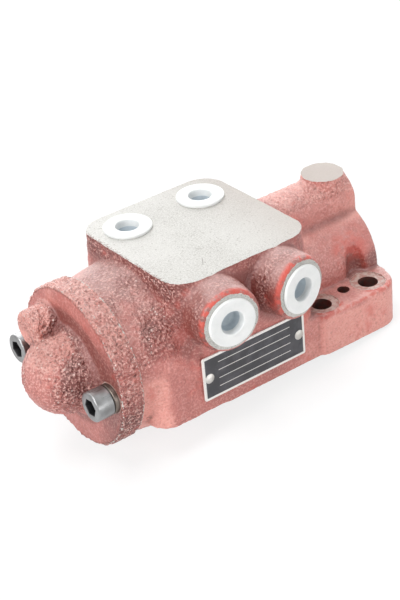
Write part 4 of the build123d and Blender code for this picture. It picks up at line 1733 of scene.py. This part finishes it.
@dataclass(frozen=True)
class Finishes:
    """Every material of the valve."""

    paint: Material
    milled: Material
    drilled: Material
    spotted: Material
    zinc: Material
    socket: Material
    washer: Material
    ground: Material
    spring: Material
    rubber: Material
    gasket: Material
    rivet: Material
    plastic: Material
    plug_hollow: Material
    plate: Material

    @classmethod
    def build(cls) -> Finishes:
        """Makes the shared effects and every finish.

        Returns:
            The finishes.
        """
        fx = Effects()
        plug_white = srgb(238, 239, 238), srgb(231, 233, 232)
        # The floor of each plug's hollow takes a darker, bluer copy of the white plastic: painted shade in the
        # hollow.
        plug_shade = srgb(206, 214, 220), srgb(186, 197, 204)
        return cls(
            paint=PrimerPaint().make(fx),
            milled=MilledIron().make(fx),
            drilled=DrilledIron().make(fx),
            spotted=SpottedIron().make(fx),
            zinc=Steel("zinc_screw", srgb(158, 159, 160), srgb(128, 128, 128), 0.27).make(fx),
            # The socket's walls and floor take this darker, duller copy of the screw's steel: painted shade in
            # the socket.
            socket=Steel("dark_socket", srgb(74, 74, 76), srgb(44, 44, 46), 0.45, 0.7).make(fx),
            washer=Steel("spring_washer", srgb(132, 122, 114), srgb(98, 88, 82), 0.34).make(fx),
            ground=Steel("ground_spool", srgb(206, 206, 206), srgb(168, 168, 170), 0.16).make(fx),
            spring=Steel("spring_wire", srgb(110, 112, 118), srgb(66, 68, 74), 0.34).make(fx),
            rubber=SoftStuff("seal_rubber", srgb(34, 34, 36), srgb(22, 22, 24), 0.5, 1.4, 0.05).make(fx),
            gasket=SoftStuff("gasket_paper", srgb(150, 138, 116), srgb(118, 108, 92), 0.8, 2.4, 0.1).make(fx),
            rivet=Steel("rivet_head", srgb(222, 220, 216), srgb(180, 176, 170), 0.36, 0.6).make(fx),
            plastic=SoftStuff("plug_plastic", *plug_white, 0.34, 0.8, 0.03).make(fx),
            plug_hollow=SoftStuff("plug_hollow", *plug_shade, 0.4, 0.8, 0.03).make(fx),
            plate=PlateInk().make(fx, *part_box("nameplate")),
        )


class Section(Enum):
    """The shape of one ring of a turned piece."""

    ROUND = 0
    HEX = 1


@dataclass(frozen=True)
class Ring:
    """One ring of a turned piece: its place along the axis, its radius, or half its flats, and its shape."""

    along: float
    radius: float
    section: Section = Section.ROUND
    face: int = 0


@dataclass
class Turned:
    """A piece that is turned about an axis from a list of rings, and may have a hexagonal socket."""

    name: str
    rings: list[Ring]
    centre: Point
    axis: Point
    steps: int = 96
    spin: float = 0.0
    sharp_angle: float = 32.0

    def radius_at(self, ring: Ring, angle: float) -> float:
        """How far out a ring lies at an angle.

        Args:
            ring: The ring.
            angle: The angle in radians.

        Returns:
            The radius in millimetres.
        """
        if ring.section is Section.ROUND:
            return ring.radius
        return ring.radius / math.cos((angle + math.pi / 6) % (math.pi / 3) - math.pi / 6)

    def spin_rings(self, bm: BMesh) -> None:
        """Spins the rings into a closed shape.

        Args:
            bm: The mesh, in metres.
        """
        place = stand(self.centre, self.axis) @ Matrix.Rotation(math.radians(self.spin), 4, "Z")
        loops = []
        for ring in self.rings:
            loop = []
            for i in range(self.steps):
                angle = math.tau * i / self.steps
                r = self.radius_at(ring, angle)
                corner = Vector((r * math.cos(angle), r * math.sin(angle), ring.along))
                loop.append(bm.verts.new((place @ corner) * MM))
            loops.append(loop)
        for ring, low, high in zip(self.rings[1:], loops, loops[1:]):
            for face in band_between(bm, low, high):
                face.material_index = ring.face
        bm.faces.new(loops[0][::-1]).material_index = self.rings[0].face
        bm.faces.new(loops[-1]).material_index = self.rings[-1].face

    def build(self, materials: list[Material], body: str, slot: Slot) -> Object:
        """Makes the piece, dresses it and lets it ride on a body.

        Args:
            materials: The materials by the rings' face numbers.
            body: The body that it rides on.
            slot: The record's slot for its finish; not used.

        Returns:
            The finished piece.
        """
        made = new_object(self.name, mesh_from(self.name, self.spin_rings))
        dress_piece(made, materials, self.sharp_angle)
        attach(made, body)
        return made


def arc_rings(along: float, radius: float, size: float, turn: Pair, steps: int = 5) -> list[Ring]:
    """The rings of a rounded edge.

    Args:
        along: Where the rounding's centre lies along the axis.
        radius: How far out its centre lies.
        size: The rounding's radius.
        turn: The angles in degrees that it runs between; 0 points outwards and 90 along the axis.
        steps: How many rings it takes.

    Returns:
        The rings in order.
    """
    angles = [math.radians(turn[0] + (turn[1] - turn[0]) * i / steps) for i in range(steps + 1)]
    return [Ring(along + size * math.sin(a), radius + size * math.cos(a)) for a in angles]


@dataclass
class CoverFasteners:
    """The two socket-head screws of the cover on their split washers."""

    head_r: float = 8.0
    head_height: float = 10.0
    edge: float = 0.9
    key: float = 4.0
    key_depth: float = 5.2
    washer: float = 2.5
    seat_x: float = COVER_FRONT_X
    places: tuple[Pair, ...] = COVER_SCREWS
    shank_r: float = 4.25
    shank_end: float = 29.5
    chamfer: float = 0.8
    mouth: float = 0.25
    drill_point: float = 1.2
    wire_steps: int = 72
    wire_soft: float = 0.35
    half_gap: float = 5.0
    slant: float = 0.05

    def head(self, name: str, place: Pair, spin: float) -> Turned:
        """One screw: shank, rounded head and hexagonal socket with its chamfered mouth.

        Args:
            name: The piece's name.
            place: The screw's place.
            spin: How far its socket is turned, in degrees.

        Returns:
            The screw.
        """
        seat, top, key_floor = self.washer, self.washer + self.head_height, self.key_depth
        rings = [Ring(-self.shank_end, self.shank_r - self.chamfer)]
        rings += [Ring(-self.shank_end + self.chamfer, self.shank_r), Ring(seat, self.shank_r)]
        rings += [Ring(seat, self.head_r - 1.2), Ring(seat + 0.7, self.head_r - 1.0)]
        rings += [Ring(seat + 0.9, self.head_r)]
        rings += arc_rings(top - self.edge, self.head_r - self.edge, self.edge, (0, 90))
        rings += [Ring(top, self.key + self.mouth, Section.HEX)]
        # Face 1, the darker steel, paints the shade inside the socket.
        rings += [Ring(top - down, self.key, Section.HEX, 1) for down in (self.mouth, key_floor)]
        rings += [Ring(top - key_floor - self.drill_point, 0.4, Section.ROUND, 1)]
        return Turned(name, rings, (self.seat_x, *place), (-1, 0, 0), spin=spin)

    def split_washer(self, name: str, place: Pair, angle: float) -> Mesh:
        """One spring washer: a square wire bent round, with its slanting split.

        Args:
            name: The mesh's name.
            place: The screw's place.
            angle: Where the split lies, in degrees.

        Returns:
            The mesh, in metres.
        """
        inner, outer, thick, soft = self.shank_r + 0.9, self.head_r, self.washer, self.wire_soft
        gap = math.radians(self.half_gap)
        section = [(inner, soft), (inner + soft, 0), (outer - soft, 0), (outer, soft)]
        section += [(r, thick - along) for r, along in section[::-1]]

        def build(bm: BMesh) -> None:
            """Bends the section round.

            Args:
                bm: The mesh to build in.
            """
            loops = []
            for i in range(self.wire_steps + 1):
                turn = math.radians(angle) + gap + (math.tau - 2 * gap) * i / self.wire_steps
                loop = []
                for r, along in section:
                    way = turn + self.slant * (along - thick / 2)
                    corner = (self.seat_x - along, place[0] + r * math.cos(way), place[1] + r * math.sin(way))
                    loop.append(bm.verts.new(Vector(corner) * MM))
                loops.append(loop)
            close_wire(bm, loops)

        return mesh_from(name, build)

    def build(self, finish: Finishes) -> list[Object]:
        """Makes both screws and both washers.

        Args:
            finish: Every material.

        Returns:
            The pieces.
        """
        made = []
        for name, place, spin, split in zip(("front", "back"), self.places, (8, 21), (300, 75)):
            skins, washer_name = [finish.zinc, finish.socket], f"split_washer_{name}"
            screw = self.head(f"cover_screw_{name}", place, spin).build(skins, VALVE, Slot.ZINC)
            washer = new_object(washer_name, self.split_washer(washer_name, place, split))
            dress_piece(washer, [finish.washer], Turned.sharp_angle)
            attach(washer, VALVE)
            made += [screw, washer]
        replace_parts(made[0], "cover_screws")
        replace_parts(made[1], "cover_spring_washers")
        return made


@dataclass
class PortPlugs:
    """The four moulded plugs in the ports."""

    body: ValveBody
    ports: tuple[str, ...] = ("pressure", "return", "left_cylinder", "right_cylinder")
    flange_r: float = 13.0
    flange: float = 1.8
    edge: float = 0.7
    shank_r: float = 8.2
    shank: float = 11.0
    mouth_r: float = 6.4
    floor_r: float = 5.4
    depth: float = 9.0

    def plug(self, name: str, centre: Point, axis: Point) -> Turned:
        """One plug: shank, flange with a rolled edge and the hollow with its lip.

        Args:
            name: The piece's name.
            centre: The middle of the port's face.
            axis: The way out of the port.

        Returns:
            The plug.
        """
        rings = [Ring(-self.shank, self.shank_r - 1.6), Ring(-self.shank + 1.4, self.shank_r - 0.2)]
        rings += [Ring(-1.2, self.shank_r), Ring(-0.02, self.shank_r), Ring(0.02, self.flange_r - 0.35)]
        rings += arc_rings(0.37, self.flange_r - 0.35, 0.35, (-90, 0), 3)
        rings += arc_rings(self.flange - self.edge, self.flange_r - self.edge, self.edge, (0, 90))
        rings += [Ring(self.flange - 0.12, self.flange_r - 2.6), Ring(self.flange - 0.12, self.mouth_r + 1.6)]
        rings += arc_rings(self.flange - 0.75, self.mouth_r + 0.55, 0.6, (90, 180))
        floor = self.flange - self.depth
        middle, middle_r = floor + 0.55 * self.depth, (self.mouth_r + self.floor_r) / 2
        rings += [Ring(self.flange - 2.0, self.mouth_r - 0.15), Ring(middle, middle_r)]
        # The floor's rings take face 1, the darker copy of the plastic that paints the hollow's shade.
        for up, r in ((0.8, self.floor_r), (0.2, self.floor_r - 0.5), (0.0, self.floor_r - 1.2), (0.25, 0.3)):
            rings.append(Ring(floor + up, r, face=1))
        return Turned(name, rings, centre, axis)

    def build(self, finish: Finishes) -> list[Object]:
        """Makes every plug, each riding on its own body.

        Args:
            finish: Every material.

        Returns:
            The pieces.
        """
        body = self.body
        places = [((x, y, body.pad_height), (0.0, 0.0, 1.0)) for x, y, _ in body.top_ports]
        places += [((x, body.side_y, body.side_z), body.side_axis(splay)) for x, splay in body.side_ports]
        made = []
        for port, (centre, axis) in zip(self.ports, places):
            node, skins = port + "_port_plug", [finish.plastic, finish.plug_hollow]
            piece = self.plug("moulded_" + node, centre, axis).build(skins, node, Slot.PLASTIC)
            made.append(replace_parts(piece, node))
        return made


@dataclass
class NamePlate:
    """The blank nameplate and the domed heads of its two rivets."""

    corner: float = 1.2
    bend: float = 0.15
    head_r: float = 2.7
    dome: float = 1.1
    rim: float = 0.18
    dome_steps: int = 9
    shank_r: float = 1.5
    shank: float = 5.0

    def plate(self, finish: Finishes) -> Object:
        """The plate, a thin sheet with rounded corners and a broken edge.

        Args:
            finish: Every material.

        Returns:
            The piece.
        """
        low, high = (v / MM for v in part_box("nameplate"))
        half = ((high.x - low.x) / 2, (high.z - low.z) / 2)
        centre = ((low.x + high.x) / 2, high.y, (low.z + high.z) / 2)
        sheet = Tool(centre, 0, high.y - low.y, axis=(0, -1, 0), half=half, corner=self.corner)
        made = new_object("blank_nameplate", mesh_from("blank_nameplate", sheet.add_to))
        made.data.materials.append(finish.plate)
        for face in made.data.polygons:
            face.material_index = 0
        soft = made.modifiers.new("edge", "BEVEL")
        soft.width, soft.segments, soft.limit_method = self.bend * MM, 2, "ANGLE"
        made.data = evaluated(made)
        made.modifiers.clear()
        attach(made, VALVE)
        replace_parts(made, "nameplate")
        return made or made

    def rivets(self, finish: Finishes) -> None:
        """The rivets' domed heads with their short shanks.

        Args:
            finish: Every material.
        """
        low, high = (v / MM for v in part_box("nameplate_rivets"))
        face_y = low.y + self.dome
        for index, x in enumerate((low.x + self.head_r, high.x - self.head_r)):
            radius = (self.head_r ** 2 + self.dome ** 2) / (2 * self.dome)
            rings = [Ring(-self.shank, self.shank_r), Ring(0, self.shank_r)]
            rings += [Ring(0, self.head_r), Ring(self.rim, self.head_r)]
            for i in range(1, self.dome_steps):
                r = self.head_r * (1 - i / self.dome_steps)
                rings.append(Ring(self.dome - radius + math.sqrt(radius ** 2 - r ** 2), r))
            head = Turned(f"rivet_{index}", rings, (x, face_y, (low.z + high.z) / 2), (0, -1, 0), steps=48)
            made = head.build([finish.rivet], VALVE, Slot.RIVET)
            if index == 0:
                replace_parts(made, "nameplate_rivets")

    def build(self, finish: Finishes) -> None:
        """Makes the plate and its rivets."""
        self.plate(finish)
        self.rivets(finish)


@dataclass(frozen=True)
class Coil:
    """One compression spring along X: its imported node, the body that it pushes, its wire and its turns."""

    node: str
    mover: str
    wire_r: float
    turns: float
    pushes_up: bool


@dataclass
class CoilSprings:
    """The four springs inside, with closed and ground ends."""

    coils: tuple[Coil, ...] = (
        Coil("centring_spring", "spool", 1.4, 8, True),
        Coil("end_spring", "spool", 0.8, 4, False),
        Coil("relief_spring", "relief_poppet", 0.8, 9, True),
        Coil("check_spring", "check_ball", 0.45, 8, False),
    )
    sides: int = 10
    steps: int = 28
    gap: float = 0.02
    sharp_angle: float = 50.0

    def stations(self, coil: Coil, length: float) -> tuple[np.ndarray, np.ndarray]:
        """Where the wire's middle runs: its angle and its way along the spring at each step.

        Args:
            coil: The spring.
            length: Its length over its ends, in millimetres.

        Returns:
            The angles in radians and the ways in millimetres.
        """
        turn = np.linspace(0, coil.turns, round(coil.turns * self.steps) + 1)
        live = smoothstep(np.minimum(turn, coil.turns - turn), 0.45, 1.0)
        closed = 2.06 * coil.wire_r
        run = length - coil.wire_r
        between = (live[1:] + live[:-1]) / 2
        pitch = (run * self.steps - closed * (1 - between).sum()) / between.sum()
        rate = closed + (pitch - closed) * between
        return math.tau * turn, np.concatenate([[0.0], np.cumsum(rate)]) / self.steps + coil.wire_r / 2

    def wire(self, coil: Coil) -> Mesh:
        """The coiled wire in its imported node's place.

        Args:
            coil: The spring.

        Returns:
            The mesh, in metres.
        """
        low, high = (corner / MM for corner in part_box(coil.node))
        middle_y, middle_z = (low.y + high.y) / 2, (low.z + high.z) / 2
        mean_r = (high.z - low.z) / 2 - coil.wire_r
        angles, ways = self.stations(coil, high.x - low.x)

        def build(bm: BMesh) -> None:
            """Winds the wire's section round.

            Args:
                bm: The mesh to build in.
            """
            loops = []
            for angle, way in zip(angles, ways):
                loop = []
                for i in range(self.sides):
                    side = math.tau * i / self.sides
                    r = mean_r + coil.wire_r * math.cos(side)
                    x = low.x + way + coil.wire_r * math.sin(side)
                    x = min(max(x, low.x + self.gap), high.x - self.gap)
                    place = Vector((x, middle_y + r * math.cos(angle), middle_z + r * math.sin(angle)))
                    loop.append(bm.verts.new(place * MM))
                loops.append(loop)
            close_wire(bm, loops)

        return mesh_from("coiled_" + coil.node, build)

    def build(self, finish: Finishes) -> list[Object]:
        """Makes every spring in its imported node's place.

        Args:
            finish: Every material.

        Returns:
            The pieces.
        """
        made = []
        for coil in self.coils:
            low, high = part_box(coil.node)
            spring = new_object("coiled_" + coil.node, self.wire(coil))
            dress_piece(spring, [finish.spring], self.sharp_angle)
            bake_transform(spring)
            made.append(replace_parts(spring, coil.node))
        return made


@dataclass(frozen=True)
class InnerParts:
    """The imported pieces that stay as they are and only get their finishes."""

    ground: tuple[str, ...] = (
        "spool", "spring_seat", "relief_poppet", "relief_seat", "relief_shim", "check_ball")
    zinc: tuple[str, ...] = ("seat_screw", "bore_plug", "gallery_plug")
    rubber: tuple[str, ...] = ("spool_seal", "bore_plug_seal", "gallery_plug_seal")
    gasket: tuple[str, ...] = ("cover_gasket",)

    def dress(self, nodes: dict[str, Object], finish: Finishes) -> None:
        """Gives each carried-over node its material.

        Args:
            nodes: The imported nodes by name.
            finish: Every material.
        """
        pairs = ((self.ground, finish.ground), (self.zinc, finish.zinc),
                 (self.rubber, finish.rubber), (self.gasket, finish.gasket))
        for names, material in pairs:
            for name in names:
                materials = nodes[name].data.materials
                materials.clear()
                materials.append(material)
                LOG.info("dressed %s", name)


@dataclass(frozen=True)
class Lamp:
    """One soft square lamp: its name, its place and its side in metres, and its power in watts."""

    name: str
    place: Point
    power: float
    size: float = 0.6


@dataclass
class Studio:
    """The floor, the lights and the camera at the photograph's viewing angle."""

    centre: Point = (-67.6, 0.0, 25.0)
    azimuth: float = -34.17
    elevation: float = 30.99
    roll: float = -5.5
    distance: float = 837.3
    focal: float = 1573.1
    long_side: float = 600.0
    shift: Pair = (-0.32, 5.18)
    end_x: float = 31.6
    leans_on: tuple[str, ...] = ("valve_body", "end_cover", "cover_screws")
    floor_half: float = 2.5
    floor_gap: float = 0.2
    glow: tuple[float, float, float, float] = (0.4, 0.9, 0.8, 1.0)
    ambient: float = 0.06
    lamps: tuple[Lamp, ...] = (
        Lamp("overhead_softbox", (-0.45, -0.1, 1.2), 10.0),
        Lamp("back_right_softbox", (0.9, 0.5, 0.5), 5.5),
        Lamp("back_softbox", (0.1, 0.75, 0.85), 4.0),
        Lamp("back_low_softbox", (0.2, 1.15, 0.3), 4.0),
        Lamp("left_softbox", (-1.2, -0.2, 0.4), 7.5),
        Lamp("front_low_fill", (-0.1, -1.2, 0.1), 3.6),
        Lamp("right_front_fill", (0.75, -0.95, 0.3), 3.4),
    )

    def camera(self) -> None:
        """Makes the camera."""
        a, e, r = (math.radians(v) for v in (self.azimuth, self.elevation, self.roll))
        back = Vector((math.sin(a) * math.cos(e), -math.cos(a) * math.cos(e), math.sin(e)))
        right = Vector((0, 0, 1)).cross(back).normalized()
        up = back.cross(right)
        right, up = right * math.cos(r) + up * math.sin(r), up * math.cos(r) - right * math.sin(r)
        data = bpy.data.cameras.new("camera")
        data.sensor_width = 36.0
        data.lens = self.focal / self.long_side * data.sensor_width
        data.clip_start, data.clip_end = 0.05, 20.0
        camera = new_object("camera", data)
        turn = Matrix((right, up, back)).transposed().to_4x4()
        place = Vector(self.centre) + back * self.distance + right * self.shift[0] + up * self.shift[1]
        camera.matrix_world = Matrix.Translation(place * MM) @ turn
        bpy.context.scene.camera = camera

    def floor(self, nodes: dict[str, Object]) -> None:
        """Makes the pale floor, which the valve touches with its feet's end edge and with its belly.

        Args:
            nodes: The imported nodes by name.
        """
        end = self.end_x * MM
        corners = [v.co for name in self.leans_on for v in nodes[name].data.vertices if v.co.x < end - 5 * MM]
        tilt = math.atan(max(c.z / (c.x - end) for c in corners))

        def build(bm: BMesh) -> None:
            """Lays one large square."""
            place = Matrix.Translation((end, 0, -self.floor_gap * MM)) @ Matrix.Rotation(-tilt, 4, "Y")
            bmesh.ops.create_grid(bm, x_segments=1, y_segments=1, size=self.floor_half, matrix=place)

        floor = new_object("studio_floor", mesh_from("studio_floor", build))
        material = bpy.data.materials.new("studio_floor")
        material.use_nodes = True
        n = Nodes(material.node_tree)
        shader = next(x for x in material.node_tree.nodes if x.type == "BSDF_PRINCIPLED")
        shader.inputs["Roughness"].default_value = 0.9
        shader.inputs["Specular IOR Level"].default_value = 0.0
        shader.inputs["Emission Color"].default_value = (1, 1, 1, 1)
        place = n.add("ShaderNodeTexCoord").outputs["Object"]
        away = n.add("ShaderNodeVectorMath", operation="DISTANCE")
        n.put(away.inputs[0], place)
        away.inputs[1].default_value = Vector(self.centre) * MM
        glow = n.span(away.outputs["Value"], *self.glow)
        seen = n.background_rays()
        n.put(shader.inputs["Base Color"], n.mix(seen, (0.95, 0.95, 0.95, 1), (0.22, 0.22, 0.22, 1)))
        n.put(shader.inputs["Emission Strength"], n.math("MULTIPLY", seen, glow))
        floor.data.materials.append(material)

    def world(self) -> None:
        """Lights the whole scene evenly and shows plain white to the camera and in gloss."""
        world = bpy.data.worlds.new("studio")
        bpy.context.scene.world = world
        world.use_nodes = True
        n = Nodes(world.node_tree)
        background = next(x for x in world.node_tree.nodes if x.type == "BACKGROUND")
        background.inputs["Color"].default_value = (1, 1, 1, 1)
        n.put(background.inputs["Strength"], n.span(n.background_rays(), 0, 1, self.ambient, 1.0))

    def hang(self, lamp: Lamp) -> None:
        """Hangs one lamp and points it at the valve.

        Args:
            lamp: The lamp.
        """
        data = bpy.data.lights.new(lamp.name, "AREA")
        data.shape, data.size, data.energy = "SQUARE", lamp.size, lamp.power
        hung = new_object(lamp.name, data)
        hung.location = lamp.place
        aim = Vector(self.centre) * MM - Vector(lamp.place)
        hung.rotation_mode = "QUATERNION"
        hung.rotation_quaternion = aim.to_track_quat("-Z", "Y")

    def build(self, nodes: dict[str, Object]) -> None:
        """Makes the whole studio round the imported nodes.

        Args:
            nodes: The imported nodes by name.
        """
        self.camera()
        self.floor(nodes)
        self.world()
        for lamp in self.lamps:
            self.hang(lamp)
        bpy.context.scene.view_settings.view_transform = "Standard"


def main() -> None:
    """Builds the studio and every piece of the valve."""
    logging.basicConfig(level=logging.INFO, format="%(name)s: %(message)s")
    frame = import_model()
    Studio().build(frame["nodes"])
    finish = Finishes.build()
    skins = [finish.paint, finish.milled, finish.drilled, finish.spotted]
    body = ValveBody()
    for casting in (body, EndCover()):
        made = casting.build(frame["nodes"][casting.node], skins)
        LOG.info("%s: %d faces", made.name, len(made.data.polygons))
    for piece in CoverFasteners().build(finish) + PortPlugs(body).build(finish) + CoilSprings().build(finish):
        LOG.info("%s: %d faces", piece.name, len(piece.data.polygons))
    NamePlate().build(finish)
    InnerParts().dress(frame["nodes"], finish)


if __name__ == "__main__":
    main()
